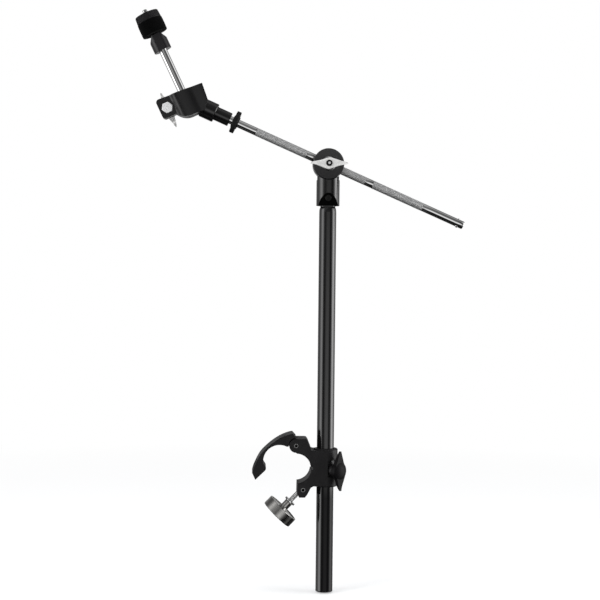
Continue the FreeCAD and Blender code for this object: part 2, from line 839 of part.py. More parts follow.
def boom_wing_nut():
    nut = wing_nut(HEAD_BOLT_R + 0.03)
    nut.rotate(ORIGIN, X_AXIS, 90)
    nut.translate(V(TUBE_X, FRONT_FACE - 2 * RUN - BOOM_WASHER_THICK, HEAD_Z))
    return nut


# ---------------------------------------------------------------- boom rod


def stop_pin_axis():
    a = math.radians(STOP_PIN_DEG)
    return V(0, math.cos(a), math.sin(a))


def boom_rod():
    """A rod with three knurled lengths, which stand a little proud of the polished ones."""
    end = 0.8
    rod = cylinder(POLISH_R, ROD_LEFT, ROD_RIGHT, X_AXIS)
    rod = rod.makeChamfer(end, [e for e in rod.Edges if e.BoundBox.XLength < 1e-3])
    for start, stop in KNURLS:
        rod = rod.fuse(cylinder(ROD_R, start, stop, X_AXIS))
    rod = rod.cut(ring(8, 4.4, SET_SCREW_AT - 2.8, SET_SCREW_AT + 2.8, X_AXIS))
    rod = rod.cut(cylinder(STOP_PIN_R + SNUG, -10, 10, stop_pin_axis(), xz(STOP_PIN_AT, 0)))
    return to_boom(rod)


def rod_stop_pin():
    """A pin across the rod, whose front end points forward and down."""
    pin = cylinder(STOP_PIN_R, -STOP_PIN_HALF, STOP_PIN_HALF, stop_pin_axis(), xz(STOP_PIN_AT, 0))
    return to_boom(soften(pin, 0.4, lambda e: len(e.Vertexes) == 1))


def stop_ring():
    """A flange on a short hub."""
    flange = cylinder(RING_R, RING_CENTRE - RING_HALF, RING_CENTRE + RING_HALF, X_AXIS)
    flange = soften(flange, 0.8, lambda e: e.BoundBox.XLength < 1e-3)
    hub = cylinder(RING_HUB_R, RING_CENTRE - RING_HUB_HALF, RING_CENTRE + RING_HUB_HALF, X_AXIS)
    hub = soften(hub, 0.6, lambda e: e.BoundBox.XLength < 1e-3)
    body = flange.fuse(hub)
    return to_boom(body.cut(rod_path(ROD_R + RUN)))


def boom_socket():
    """The stepped socket on the rod's end, and the flat tongue that the tilter turns on."""
    points = [
        (0, -SOCKET_MOUTH),
        (SOCKET_SMALL_R - MOUTH_CHAMFER, -SOCKET_MOUTH),
        (SOCKET_SMALL_R, -SOCKET_MOUTH + MOUTH_CHAMFER),
        (SOCKET_SMALL_R, -SOCKET_STEP),
        (SOCKET_LARGE_R - 0.8, -SOCKET_STEP),
        (SOCKET_LARGE_R, -SOCKET_STEP + 0.8),
        (SOCKET_LARGE_R, -SOCKET_END - 0.6),
        (SOCKET_LARGE_R - 0.6, -SOCKET_END),
        (0, -SOCKET_END),
    ]
    socket = turned(points)
    socket.rotate(ORIGIN, Y_AXIS, -90)
    half = TONGUE_PLATE_HALF
    plate = box(TILTER_AT, SOCKET_END + 1, -half, half, -TONGUE_PLATE_R, TONGUE_PLATE_R)
    eye = cylinder(TONGUE_PLATE_R, -half, half, Y_AXIS, xz(TILTER_AT, 0))
    socket = socket.fuse(plate).fuse(eye)
    socket = socket.cut(cylinder(ROD_R + RUN, ROD_LEFT - 1.5, SOCKET_MOUTH + 5, X_AXIS))
    socket = socket.cut(cylinder(PIVOT_PIN_R + RUN, -10, 10, Y_AXIS, xz(TILTER_AT, 0)))
    socket = socket.cut(cylinder(SET_SCREW_R + SNUG, 0, 20, Y_AXIS, xz(SET_SCREW_AT, 0)))
    return to_boom(socket.removeSplitter())


def socket_screw():
    at = xz(SET_SCREW_AT, 0)
    screw = cylinder(SET_SCREW_R, 4.5, SOCKET_SMALL_R - 0.3, Y_AXIS, at)
    return to_boom(screw.cut(hexagon(2.5, 6.2, 10, Y_AXIS, at)))


# ---------------------------------------------------------------- cymbal tilter


def tilter_profile():
    """The block's outline seen from the front, with the ear for the bolt on the left."""
    low = around(ORIGIN, HOUSING_R, 275)
    ear_low = around(ORIGIN, HOUSING_R, 212.6)
    r = 4.5
    left = -36.5
    top = 14.3
    bottom = ear_low.z
    low_centre = xz(left + r, bottom + r)
    top_centre = xz(left + r, top - r)
    edges = [
        line(xz(left + r, top), xz(27.7, 9.5)),
        line(xz(27.7, 9.5), xz(25.5, -13.0)),
        line(xz(25.5, -13.0), xz(16.4, -23.0)),
        line(xz(16.4, -23.0), low),
        arc(low, around(ORIGIN, HOUSING_R, 245), ear_low),
        line(ear_low, xz(left + r, bottom)),
        arc(xz(left + r, bottom), around(low_centre, r, 225), xz(left, bottom + r)),
        line(xz(left, bottom + r), xz(left, top - r)),
        arc(xz(left, top - r), around(top_centre, r, 135), xz(left + r, top)),
    ]
    return sheet(edges)


def tilter_section():
    """Half of the block's cross-section: a thin ear, a barrel round the rod, a flatter right side."""
    swell = [
        V(-17.5, EAR_FACE, 0),
        V(-15.6, 9.6, 0),
        V(-12.6, 13.0, 0),
        V(-7.5, 15.1, 0),
        V(0, 15.8, 0),
        V(7.5, 15.0, 0),
        V(12.0, 13.9, 0),
        V(17.0, 14.2, 0),
        V(22.5, 14.6, 0),
        V(28.5, 13.6, 0),
    ]
    edges = [
        line(V(-40, SPLIT_HALF, 0), V(-40, EAR_FACE, 0)),
        line(V(-40, EAR_FACE, 0), swell[0]),
        curve(swell),
        line(swell[-1], V(28.5, SPLIT_HALF, 0)),
        line(V(28.5, SPLIT_HALF, 0), V(-40, SPLIT_HALF, 0)),
    ]
    section = sheet(edges)
    section.translate(V(0, 0, -40))
    return section.extrude(V(0, 0, 80))


def sector(radius, first_deg, last_deg, half):
    """A slab of the given half-thickness between two directions from the pivot."""
    count = 5
    step = (last_deg - first_deg) / count
    rim = [around(ORIGIN, radius, first_deg + i * step) for i in range(count + 1)]
    return thick(polygon([ORIGIN] + rim), -half, half)


def socket_swing_room():
    """Room inside the block for the tongue and the socket's large end as the block tilts."""
    rest = -(BOOM_DOWN_DEG + ROD_LEAN_DEG)
    low = rest - TILT_LEFT_DEG
    high = rest + TILT_RIGHT_DEG
    half = TONGUE_PLATE_HALF + 0.15
    r = TONGUE_PLATE_R + 0.2
    slot = cylinder(r, -half, half, Y_AXIS)
    for degrees in (low, rest, high):
        path = box(0, 50, -half, half, -r, r)
        slot = slot.fuse(turn_y(path, -degrees, ORIGIN))
    slot = slot.fuse(sector(45, low, high, half))
    spread = 30
    recess = sector(60, low - spread, high + spread, SOCKET_LARGE_R + 0.25)
    recess = recess.cut(cylinder(HOUSING_R + 0.35, -30, 30, Y_AXIS))
    return slot.fuse(recess)


def tilter_half():
    """The rear half. The front one is its mirror image, apart from the bolt's pocket."""
    half = thick(tilter_profile(), -20, 20).common(tilter_section())
    half = half.cut(cylinder(ROD_R + RUN, -6, 40))
    pin_end = PIVOT_PIN_HALF + 0.2
    half = half.cut(cylinder(PIVOT_PIN_R + SNUG, -pin_end, pin_end, Y_AXIS))
    half = half.cut(socket_swing_room())
    return half.cut(cylinder(EAR_BOLT_R + RUN, -30, 30, Y_AXIS, xz(EAR_BOLT_X, 0)))


def tilter_rear_half():
    return to_tilter(tilter_half())


def tilter_front_half():
    half = tilter_half().mirror(ORIGIN, Y_AXIS)
    pocket = hexagon(HEX_FLATS + 0.5, -30, HEX_FLOOR, Y_AXIS, xz(EAR_BOLT_X, 0))
    return to_tilter(half.cut(pocket))


def tilter_pivot_pin():
    pin = cylinder(PIVOT_PIN_R, -PIVOT_PIN_HALF, PIVOT_PIN_HALF, Y_AXIS)
    return to_tilter(soften(pin, 0.4, lambda e: e.BoundBox.YLength < 1e-3))


def tilter_bolt():
    at = xz(EAR_BOLT_X, 0)
    head = hexagon(HEX_FLATS, HEX_TOP, HEX_FLOOR - SNUG, Y_AXIS, at)
    crown = cylinder(7.4, HEX_TOP, HEX_FLOOR, Y_AXIS, at)
    crown = crown.makeChamfer(1.1, [e for e in crown.Edges if e.BoundBox.YMax < HEX_TOP + 0.5])
    shank = cylinder(EAR_BOLT_R, HEX_FLOOR - 1, 23.0, Y_AXIS, at)
    shank = soften(shank, 1.5, lambda e: e.BoundBox.YMin > 22.5)
    return to_tilter(head.common(crown).fuse(shank))


def tilter_washer():
    face = EAR_FACE + RUN
    at = xz(EAR_BOLT_X, 0)
    return to_tilter(ring(EAR_WASHER_R, EAR_BOLT_R + RUN, face, face + EAR_WASHER_THICK, Y_AXIS, at))


def tilter_wing_nut():
    """The wing nut behind the ear. Its wings lie along the cymbal rod."""
    nut = wing_nut(EAR_BOLT_R + 0.03)
    nut.rotate(ORIGIN, X_AXIS, -90)
    turn_y(nut, 90, ORIGIN)
    nut.translate(V(EAR_BOLT_X, EAR_FACE + 2 * RUN + EAR_WASHER_THICK, 0))
    return to_tilter(nut)


# ---------------------------------------------------------------- cymbal rod


def cymbal_rod():
    """A rod with a clevis at its foot, and a thinner threaded upper end."""
    step = SLEEVE_BOTTOM + 1.8
    points = [
        (0, -5.0),
        (ROD_R - 0.6, -5.0),
        (ROD_R, -4.4),
        (ROD_R, step),
        (THREAD_R, step),
        (THREAD_R, TIP_Z - 0.8),
        (THREAD_R - 0.8, TIP_Z),
        (0, TIP_Z),
    ]
    rod = turned(points)
    gap = TONGUE_PLATE_HALF + 0.1
    rod = rod.cut(box(-10, 10, -gap, gap, -10, 9))
    return to_tilter(rod.cut(cylinder(PIVOT_PIN_R + SNUG, -10, 10, Y_AXIS)))


def cymbal_sleeve():
    """A foot with two flats, bevelled on either side, under a thin neck inside the felt."""
    foot = cylinder(SLEEVE_R, SLEEVE_BOTTOM, SLEEVE_TOP)
    foot = soften(foot, 0.5, lambda e: e.BoundBox.ZMax < SLEEVE_BOTTOM + 0.1)
    wide = 2 * SLEEVE_R
    foot = foot.common(box(-wide, wide, -SLEEVE_FLAT, SLEEVE_FLAT, SLEEVE_BOTTOM, SLEEVE_TOP))
    for side in (-1, 1):
        bevel = polygon([
            xz(side * SLEEVE_R, SLEEVE_SHOULDER),
            xz(side * wide, SLEEVE_SHOULDER),
            xz(side * wide, SLEEVE_TOP + 1),
            xz(side * SLEEVE_NECK_R, SLEEVE_TOP + 1),
            xz(side * SLEEVE_NECK_R, SLEEVE_TOP),
        ])
        foot = foot.cut(thick(bevel, -wide, wide))
    neck = cylinder(SLEEVE_NECK_R, SLEEVE_TOP - 1, FELT_BOTTOM - RUN)
    neck = neck.fuse(cylinder(FELT_BORE_R - 0.1, FELT_BOTTOM - 1, SLEEVE_END))
    sleeve = foot.fuse(neck)
    sleeve = sleeve.cut(cylinder(THREAD_R + RUN, SLEEVE_BOTTOM - 1, SLEEVE_END + 1))
    sleeve = sleeve.cut(cylinder(ROD_R + RUN, SLEEVE_BOTTOM - 1, SLEEVE_BOTTOM + SLEEVE_SOCKET))
    return to_tilter(sleeve)


def cymbal_felt():
    return to_tilter(ring(FELT_R, FELT_BORE_R, FELT_BOTTOM, FELT_TOP))


def felt_washer():
    return to_tilter(ring(12.4, THREAD_R + RUN, FELT_TOP + RUN, FELT_TOP + RUN + 1.0))


def cap_nut():
    """A round nut with a crowned top, hollow below to take the washer."""
    bore = THREAD_R + 0.03
    low = FELT_TOP + 0.1
    ceiling = FELT_TOP + 2 * RUN + 1.0
    crown = [V(CAP_R - 1.7, 0, CAP_TOP + 0.7), V(8.0, 0, CAP_CROWN - 0.5), V(bore, 0, CAP_CROWN)]
    corners = [
        V(bore, 0, ceiling),
        V(12.8, 0, ceiling),
        V(12.8, 0, low),
        V(CAP_R - 0.5, 0, low),
        V(CAP_R, 0, low + 0.5),
        V(CAP_R - 0.7, 0, CAP_TOP - 0.4),
        crown[0],
    ]
    edges = [line(a, b) for a, b in zip(corners, corners[1:])]
    edges.append(curve(crown))
    edges.append(line(crown[-1], corners[0]))
    return to_tilter(sheet(edges).revolve(ORIGIN, Z_AXIS, 360))


def build():
    return {
        "clamp_body": clamp_body(),
        "jaw_pin": lug_pin(UPPER_PIN),
        "bolt_pin": lug_pin(LOWER_PIN),
        "clamp_jaw": clamp_jaw(),
        "swing_bolt": swing_bolt(),
        "knob_washer": knob_washer(),
        "clamp_knob": clamp_knob(),
        "collar_nut": collar_nut(),
        "pressure_shoe": pressure_shoe(),
        "collar_stud": collar_stud(),
        "collar_wing": collar_wing(),
        "tube_liner": tube_liner(),
        "boom_tube": boom_tube(),
        "tube_end_cap": tube_end_cap(),
        "tube_plug": tube_plug(),
        "tilter_base": tilter_base(),
        "base_screw": base_screw(),
        "friction_disc": friction_disc(),
        "rod_clamp_front": rod_clamp_front(),
        "rod_clamp_rear": rod_clamp_rear(),
        "head_bolt": head_bolt(),
        "boom_washer": boom_washer(),
        "boom_wing_nut": boom_wing_nut(),
        "boom_rod": boom_rod(),
        "rod_stop_pin": rod_stop_pin(),
        "stop_ring": stop_ring(),
        "boom_socket": boom_socket(),
        "socket_screw": socket_screw(),
        "tilter_front_half": tilter_front_half(),
        "tilter_rear_half": tilter_rear_half(),
        "tilter_pivot_pin": tilter_pivot_pin(),
        "tilter_bolt": tilter_bolt(),
        "tilter_washer": tilter_washer(),
        "tilter_wing_nut": tilter_wing_nut(),
        "cymbal_rod": cymbal_rod(),
        "cymbal_sleeve": cymbal_sleeve(),
        "cymbal_felt": cymbal_felt(),
        "felt_washer": felt_washer(),
        "cap_nut": cap_nut(),
    }


os.makedirs("parts", exist_ok=True)
for name, shape in build().items():
    solids = shape.Solids
    print(name, len(solids), "valid" if shape.isValid() else "INVALID", round(shape.Volume, 1))
    shape = solids[0] if len(solids) == 1 else Part.makeCompound(solids)
    shape.exportStep("parts/" + name + ".step")
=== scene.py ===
import bpy
import json
import math
from mathutils import Matrix, Vector, noise

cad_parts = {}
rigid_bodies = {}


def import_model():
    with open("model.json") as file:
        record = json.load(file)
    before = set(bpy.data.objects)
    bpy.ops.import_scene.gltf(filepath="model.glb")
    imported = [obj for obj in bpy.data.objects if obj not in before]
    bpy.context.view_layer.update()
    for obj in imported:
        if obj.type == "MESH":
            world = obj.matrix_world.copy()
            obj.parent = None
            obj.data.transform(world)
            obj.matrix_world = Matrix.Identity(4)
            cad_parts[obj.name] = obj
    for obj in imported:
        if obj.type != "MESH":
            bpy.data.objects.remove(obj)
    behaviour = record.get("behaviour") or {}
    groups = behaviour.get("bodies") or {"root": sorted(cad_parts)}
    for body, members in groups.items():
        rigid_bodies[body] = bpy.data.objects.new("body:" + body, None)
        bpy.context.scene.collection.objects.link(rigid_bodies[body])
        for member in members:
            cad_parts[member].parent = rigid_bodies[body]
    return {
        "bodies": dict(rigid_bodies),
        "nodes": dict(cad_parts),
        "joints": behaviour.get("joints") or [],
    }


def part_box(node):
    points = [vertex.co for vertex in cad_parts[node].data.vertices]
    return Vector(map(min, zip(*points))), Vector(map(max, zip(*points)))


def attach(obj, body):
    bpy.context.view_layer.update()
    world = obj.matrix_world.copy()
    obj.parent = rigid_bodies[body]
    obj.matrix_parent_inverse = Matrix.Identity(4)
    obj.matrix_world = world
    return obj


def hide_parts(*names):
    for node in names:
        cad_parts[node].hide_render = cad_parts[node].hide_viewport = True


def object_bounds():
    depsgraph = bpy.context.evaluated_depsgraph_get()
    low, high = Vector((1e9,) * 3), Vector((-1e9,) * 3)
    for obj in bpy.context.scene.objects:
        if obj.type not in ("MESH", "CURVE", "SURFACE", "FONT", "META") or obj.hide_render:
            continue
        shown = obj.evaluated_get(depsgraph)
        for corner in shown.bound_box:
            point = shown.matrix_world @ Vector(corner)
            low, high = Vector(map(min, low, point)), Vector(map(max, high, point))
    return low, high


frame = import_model()
cad_box = [list(c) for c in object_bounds()]
nodes = frame["nodes"]
MM = 0.001

# ---------------------------------------------------------------- directions, from the record's joints

joints = {j["name"]: j for j in frame["joints"]}


def axis_of(name):
    return Vector(joints[name]["axis"]).normalized()


def point_of(name):
    return Vector(joints[name]["pos_m"])


def centre_of(node):
    low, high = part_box(node)
    return (Vector(low) + Vector(high)) / 2


BOOM_DIR = axis_of("boom_slide")
HEAD = point_of("boom_tilt")
POST_DIR = axis_of("cap_nut_turn")
PIVOT = point_of("cymbal_tilt")
BOLT_DIR = axis_of("knob_turn")
BOLT_PIN = point_of("bolt_swing")


def frame_on(origin, along, side=Vector((0, 1, 0))):
    """A matrix whose Z runs along a direction, and whose Y is close to the given side."""
    z = along.normalized()
    if abs(z.dot(side)) > 0.9:
        side = Vector((0, 0, 1))
    x = side.cross(z).normalized()
    y = z.cross(x)
    rows = Matrix((x, y, z)).transposed().to_4x4()
    return Matrix.Translation(origin) @ rows


# ---------------------------------------------------------------- materials

# how fine the turned and the drawn lines of plated metal are, as noise scales across and along them
RING_LINES = 5200.0
DRAWN_LINES = (3800.0, 3800.0, 30.0)


class Tree:
    """A shader node tree, with short ways to add and link nodes."""

    def __init__(self, tree):
        self.tree = tree
        self.tree.nodes.clear()

    def add(self, kind, values=(), **settings):
        """A new node. values fills its inputs, by name or number, with constants or outputs."""
        node = self.tree.nodes.new(kind)
        for key, value in settings.items():
            setattr(node, key, value)
        for key, value in dict(values).items():
            if hasattr(value, "is_output"):
                self.tree.links.new(value, node.inputs[key])
            else:
                node.inputs[key].default_value = value
        return node

    def math(self, op, a, b=0.0):
        return self.add("ShaderNodeMath", {0: a, 1: b}, operation=op).outputs[0]

    def dot(self, a, b):
        return self.add("ShaderNodeVectorMath", {0: a, 1: b}, operation="DOT_PRODUCT").outputs["Value"]


class Nodes(Tree):
    """The nodes of one material."""

    def __init__(self, name):
        self.mat = bpy.data.materials.new(name)
        self.mat.use_nodes = True
        super().__init__(self.mat.node_tree)
        self.out = self.tree.nodes.new("ShaderNodeOutputMaterial")
        self.bsdf = self.tree.nodes.new("ShaderNodeBsdfPrincipled")
        self.tree.links.new(self.bsdf.outputs[0], self.out.inputs[0])
        coord = self.tree.nodes.new("ShaderNodeTexCoord")
        self.coord = coord.outputs["Object"]
        self.normal = coord.outputs["Normal"]

    def link(self, output, socket):
        self.tree.links.new(output, self.bsdf.inputs[socket])

    def off_axis(self, local):
        """Distance from the Z axis of aligned coordinates."""
        x, y, z = self.add("ShaderNodeSeparateXYZ", {0: local}).outputs
        squares = self.math("ADD", self.math("MULTIPLY", x, x), self.math("MULTIPLY", y, y))
        return self.math("SQRT", squares)

    def aligned(self, direction, origin=Vector((0, 0, 0))):
        """Object coordinates turned so that Z runs along a direction, starting at origin."""
        m = frame_on(origin, direction).inverted()
        values = {"Vector": self.coord, "Location": m.to_translation(), "Rotation": m.to_euler()}
        return self.add("ShaderNodeMapping", values).outputs[0]

    def noise(self, scale, detail=3.0, vector=None, rough=0.5):
        values = {"Vector": vector or self.coord, "Scale": scale, "Detail": detail, "Roughness": rough}
        return self.add("ShaderNodeTexNoise", values).outputs["Fac"]

    def ramp(self, fac, low, high, a, b):
        """Map fac from low..high to a..b."""
        values = {"Value": fac, "From Min": low, "From Max": high, "To Min": a, "To Max": b}
        return self.add("ShaderNodeMapRange", values).outputs[0]

    def mix_colour(self, fac, a, b):
        node = self.add("ShaderNodeMix", data_type="RGBA")
        for socket, value in ((node.inputs[0], fac), (node.inputs[6], a), (node.inputs[7], b)):
            if hasattr(value, "is_output"):
                self.tree.links.new(value, socket)
            else:
                socket.default_value = value
        return node.outputs[2]

    def edge_normal(self, radius_mm):
        """The surface normal, rounded off within a radius of any edge."""
        return self.add("ShaderNodeBevel", {"Radius": radius_mm * MM}, samples=4).outputs[0]

    def edge_mask(self, radius_mm, low=0.02, high=0.25):
        """1 along sharp edges, 0 on flat faces."""
        soft = self.edge_normal(radius_mm)
        true = self.add("ShaderNodeNewGeometry").outputs["Normal"]
        away = self.math("SUBTRACT", 1.0, self.dot(soft, true))
        return self.ramp(away, low, high, 0.0, 1.0)

    def bump(self, height, strength, distance_mm, normal=None):
        """The surface normal, bent by fine relief. It starts from the given normal or the true one."""
        values = {"Height": height, "Strength": strength, "Distance": distance_mm * MM}
        if normal is not None:
            values["Normal"] = normal
        return self.add("ShaderNodeBump", values).outputs[0]


def grey(v, tint=(1.0, 1.0, 1.0)):
    return (v * tint[0], v * tint[1], v * tint[2], 1.0)


def moulded(name, tone, rough, tint=(1.04, 0.95, 1.08), grain=0.5, worn=1.9, shine=0.35):
    """Glass-filled nylon or moulded plastic: fine spark-eroded grain, slight flow marks, paler edges."""
    n = Nodes(name)
    flow = n.noise(35.0, 4.0)
    fine = n.noise(2600.0, 2.0)
    cell = n.add("ShaderNodeTexVoronoi", {"Vector": n.coord, "Scale": 1500.0}).outputs["Distance"]
    edge = n.edge_mask(0.5)
    dust_and_shade = n.ramp(n.noise(260.0, 5.0, rough=0.65), 0.58, 0.75, 0.0, 0.35)
    base = n.mix_colour(flow, grey(tone * 0.8, tint), grey(tone * 1.25, tint))
    base = n.mix_colour(dust_and_shade, base, grey(tone * 1.9, tint))
    base = n.mix_colour(n.math("MULTIPLY", edge, 0.5), base, grey(tone * worn, tint))
    n.link(base, "Base Color")
    n.link(n.ramp(n.noise(90.0, 3.0), 0.3, 0.7, rough - 0.07, rough + 0.08), "Roughness")
    height = n.math("ADD", n.math("MULTIPLY", fine, grain), n.math("MULTIPLY", cell, grain * 0.8))
    n.link(n.bump(height, 0.5, 0.06, n.edge_normal(0.35)), "Normal")
    n.bsdf.inputs["Specular IOR Level"].default_value = shine
    return n.mat


def painted(name, tone, rough, tint=(1.02, 0.97, 1.06), peel=0.05, coat=0.6, edge_mm=0.4,
            shaded_matt_below=False, bloom_and_highlight=None, shaded_below=None):
    """Gloss or satin paint with orange peel, faint rub marks and thinner paint on the edges.

    shaded_matt_below makes downward faces dull and paints them darker, as painted shade.
    bloom_and_highlight is a height in metres above which the paint turns paler, as a painted highlight,
    and shaded_below one under which the front and the right side lose most of their gloss, as painted
    shade that dims their reflections."""
    n = Nodes(name)
    cloud = n.noise(18.0, 3.0)
    base = n.mix_colour(cloud, grey(tone * 0.85, tint), grey(tone * 1.2, tint))
    edge = n.math("MULTIPLY", n.edge_mask(edge_mm), n.ramp(n.noise(300.0, 3.0), 0.45, 0.6, 0.0, 0.35))
    base = n.mix_colour(edge, base, grey(tone * 3.0 + 0.01))
    if bloom_and_highlight is not None:
        # painted highlight: the paint turns paler above this height, standing in for light on the upper
        # part
        height = n.add("ShaderNodeSeparateXYZ", {0: n.coord}).outputs[2]
        rising = n.ramp(height, bloom_and_highlight - 0.012, bloom_and_highlight + 0.02, 0.0, 1.0)
        top_highlight = n.math("MULTIPLY", rising, n.ramp(cloud, 0.3, 0.7, 0.6, 1.0))
        base = n.mix_colour(top_highlight, base, grey(tone * 2.6 + 0.008))
    rub = n.ramp(n.noise(55.0, 6.0, rough=0.7), 0.35, 0.7, rough - 0.03, rough + 0.07)
    if shaded_matt_below:
        # painted shade: downward faces get a darker colour, as well as less gloss and more roughness
        true = n.add("ShaderNodeNewGeometry").outputs["True Normal"]
        upward = n.add("ShaderNodeSeparateXYZ", {0: true}).outputs[2]
        shaded_matt = n.ramp(upward, -0.1, -0.3, 0.0, 1.0)
        base = n.mix_colour(shaded_matt, base, grey(tone * 0.4))
        rub = n.math("ADD", rub, n.math("MULTIPLY", shaded_matt, 0.4))
        n.link(n.ramp(shaded_matt, 0.0, 1.0, 0.5, 0.03), "Specular IOR Level")
        n.link(n.ramp(shaded_matt, 0.0, 1.0, coat, 0.0), "Coat Weight")
    if shaded_below is not None:
        # painted shade: low down, the front and the right side lose gloss and coat, which dims their
        # reflections
        height = n.add("ShaderNodeSeparateXYZ", {0: n.coord}).outputs[2]
        facing = n.add("ShaderNodeSeparateXYZ", {0: n.normal}).outputs
        low = n.ramp(height, shaded_below + 0.03, shaded_below - 0.03, 0.0, 1.0)
        dust_and_shade = n.math("MULTIPLY", low, n.ramp(facing[0], -0.5, -0.25, 0.0, 1.0))
        dust_and_shade = n.math("MULTIPLY", dust_and_shade, n.ramp(facing[1], 0.3, 0.0, 0.0, 1.0))
        n.link(n.ramp(dust_and_shade, 0.0, 1.0, 0.5, 0.12), "Specular IOR Level")
        n.link(n.ramp(dust_and_shade, 0.0, 1.0, coat, 0.0), "Coat Weight")
    n.link(base, "Base Color")
    n.link(rub, "Roughness")
    skin = n.noise(420.0, 2.0)
    n.link(n.bump(skin, peel, 0.03, n.edge_normal(edge_mm)), "Normal")
    n.bsdf.inputs["Coat Weight"].default_value = coat
    n.bsdf.inputs["Coat Roughness"].default_value = max(0.04, rough - 0.12)
    return n.mat


def metal(name, tone, rough, direction, origin=Vector((0, 0, 0)), tint=(1, 1, 1), lines="rings",
          scratch=0.35, edge_mm=0.3, dull=0.0, metallic=1.0):
    """Plated or turned metal. Lines run round the axis ("rings") or along it ("drawn")."""
    n = Nodes(name)
    local = n.aligned(direction, origin)
    if lines == "rings":
        z = n.add("ShaderNodeSeparateXYZ", {0: local}).outputs[2]
        out = n.math("MULTIPLY", n.off_axis(local), RING_LINES)
        up = n.math("MULTIPLY", z, RING_LINES)
        stretched = n.add("ShaderNodeCombineXYZ", {0: out, 1: 0.0, 2: up}).outputs[0]
    else:
        values = {0: local, 1: DRAWN_LINES}
        stretched = n.add("ShaderNodeVectorMath", values, operation="MULTIPLY").outputs[0]
    streak = n.noise(1.0, 2.0, stretched)
    smear = n.noise(140.0, 4.0, rough=0.6)
    spots = n.ramp(n.noise(900.0, 3.0, rough=0.6), 0.62, 0.75, 0.0, 1.0)
    base = n.mix_colour(smear, grey(tone * 0.9, tint), grey(min(tone * 1.06, 1.0), tint))
    base = n.mix_colour(n.math("MULTIPLY", spots, 0.25), base, grey(tone * 0.6, tint))
    if dull:
        tarnish = n.math("MULTIPLY", n.ramp(streak, 0.35, 0.65, 0.0, 1.0), dull)
        base = n.mix_colour(tarnish, base, grey(tone * 0.55, tint))
    n.link(base, "Base Color")
    n.bsdf.inputs["Metallic"].default_value = metallic
    low = n.ramp(streak, 0.3, 0.7, rough * 0.75, rough * 1.25)
    n.link(n.math("ADD", low, n.ramp(smear, 0.45, 0.75, 0.0, 0.08)), "Roughness")
    n.link(n.bump(streak, scratch, 0.01, n.edge_normal(edge_mm)), "Normal")
    return n.mat


def dark_steel(name, direction, origin=Vector((0, 0, 0)), tone=0.03, bright=0.75, rough=0.2,
              edge_mm=0.35, rim_highlight=False, glint_mm=0.0):
    """Dark steel with turning marks. The edges are worn back to bright metal, and rim_highlight
    brightens the whole outer edge as a painted highlight.

    glint_mm is the radius of a painted glint: a bright spot on the axis of a domed end."""
    n = Nodes(name)
    local = n.aligned(direction, origin)
    wave = {"Vector": local, "Scale": 900.0, "Distortion": 1.5, "Detail": 2.0}
    rings = n.add("ShaderNodeTexWave", wave, wave_type="RINGS", rings_direction="Z").outputs["Fac"]
    patchy = n.noise(300.0, 5.0, rough=0.65)
    base = n.mix_colour(patchy, grey(tone * 0.6), grey(tone * 1.6))
    wear_and_highlight = n.edge_mask(edge_mm, 0.03, 0.2)
    if rim_highlight:
        # painted highlight: the whole outer edge turns bright
        flat = n.math("ABSOLUTE", n.dot(n.normal, direction))
        wear_and_highlight = n.math("MAXIMUM", wear_and_highlight, n.ramp(flat, 0.95, 0.85, 0.0, 1.0))
    wear_and_highlight = n.math("MULTIPLY", wear_and_highlight, n.ramp(patchy, 0.3, 0.6, 0.7, 1.0))
    if glint_mm:
        # painted glint: a bright spot on the axis of the domed end
        r = n.off_axis(local)
        crown = glint_mm * MM
        spot = n.ramp(r, 1.25 * crown, 0.8 * crown, 0.0, 1.0)
        wear_and_highlight = n.math("MULTIPLY", wear_and_highlight, n.ramp(r, 1.3 * crown, 2.2 * crown, 0.0, 1.0))
        wear_and_highlight = n.math("MAXIMUM", wear_and_highlight, spot)
    base = n.mix_colour(wear_and_highlight, base, grey(bright))
    n.link(base, "Base Color")
    n.bsdf.inputs["Metallic"].default_value = 1.0
    n.link(n.ramp(patchy, 0.3, 0.7, rough - 0.05, rough + 0.12), "Roughness")
    n.link(n.bump(rings, 0.25, 0.02, n.edge_normal(0.25)), "Normal")
    return n.mat


def hollow_pin(name, direction):
    """A rolled spring pin: satin end faces, and the bore painted near black as shade."""
    n = Nodes(name)
    end = n.ramp(n.math("ABSOLUTE", n.dot(n.normal, direction)), 0.5, 0.8, 0.0, 1.0)
    grime = n.noise(500.0, 4.0, rough=0.6)
    satin = n.mix_colour(grime, grey(0.16), grey(0.4))
    # painted shade: all but the end faces, the bore included, are near black
    n.link(n.mix_colour(end, n.mix_colour(grime, grey(0.002), grey(0.01)), satin), "Base Color")
    n.bsdf.inputs["Metallic"].default_value = 1.0
    uneven = n.ramp(grime, 0.3, 0.7, -0.05, 0.1)
    n.link(n.math("ADD", n.ramp(end, 0.0, 1.0, 0.7, 0.3), uneven), "Roughness")
    n.link(n.bump(grime, 0.3, 0.03, n.edge_normal(0.2)), "Normal")
    return n.mat


def threaded(name, tone, rough, direction, origin, pitch_mm):
    """Bright metal with a screw thread cut along the axis."""
    n = Nodes(name)
    local = n.aligned(direction, origin)
    x, y, z = n.add("ShaderNodeSeparateXYZ", {0: local}).outputs
    turn = n.math("DIVIDE", n.math("ARCTAN2", y, x), 2 * math.pi)
    phase = n.math("ADD", n.math("DIVIDE", z, pitch_mm * MM), turn)
    saw = n.math("ABSOLUTE", n.math("SUBTRACT", n.math("FRACT", phase), 0.5))
    # painted shade: the thread roots are darker than the crests
    n.link(n.mix_colour(n.ramp(saw, 0.0, 0.5, 0.0, 1.0), grey(tone * 0.35), grey(tone)), "Base Color")
    n.bsdf.inputs["Metallic"].default_value = 1.0
    n.link(n.ramp(n.noise(400.0), 0.3, 0.7, rough - 0.05, rough + 0.1), "Roughness")
    n.link(n.bump(saw, 0.9, 0.35 * pitch_mm, n.edge_normal(0.2)), "Normal")
    return n.mat


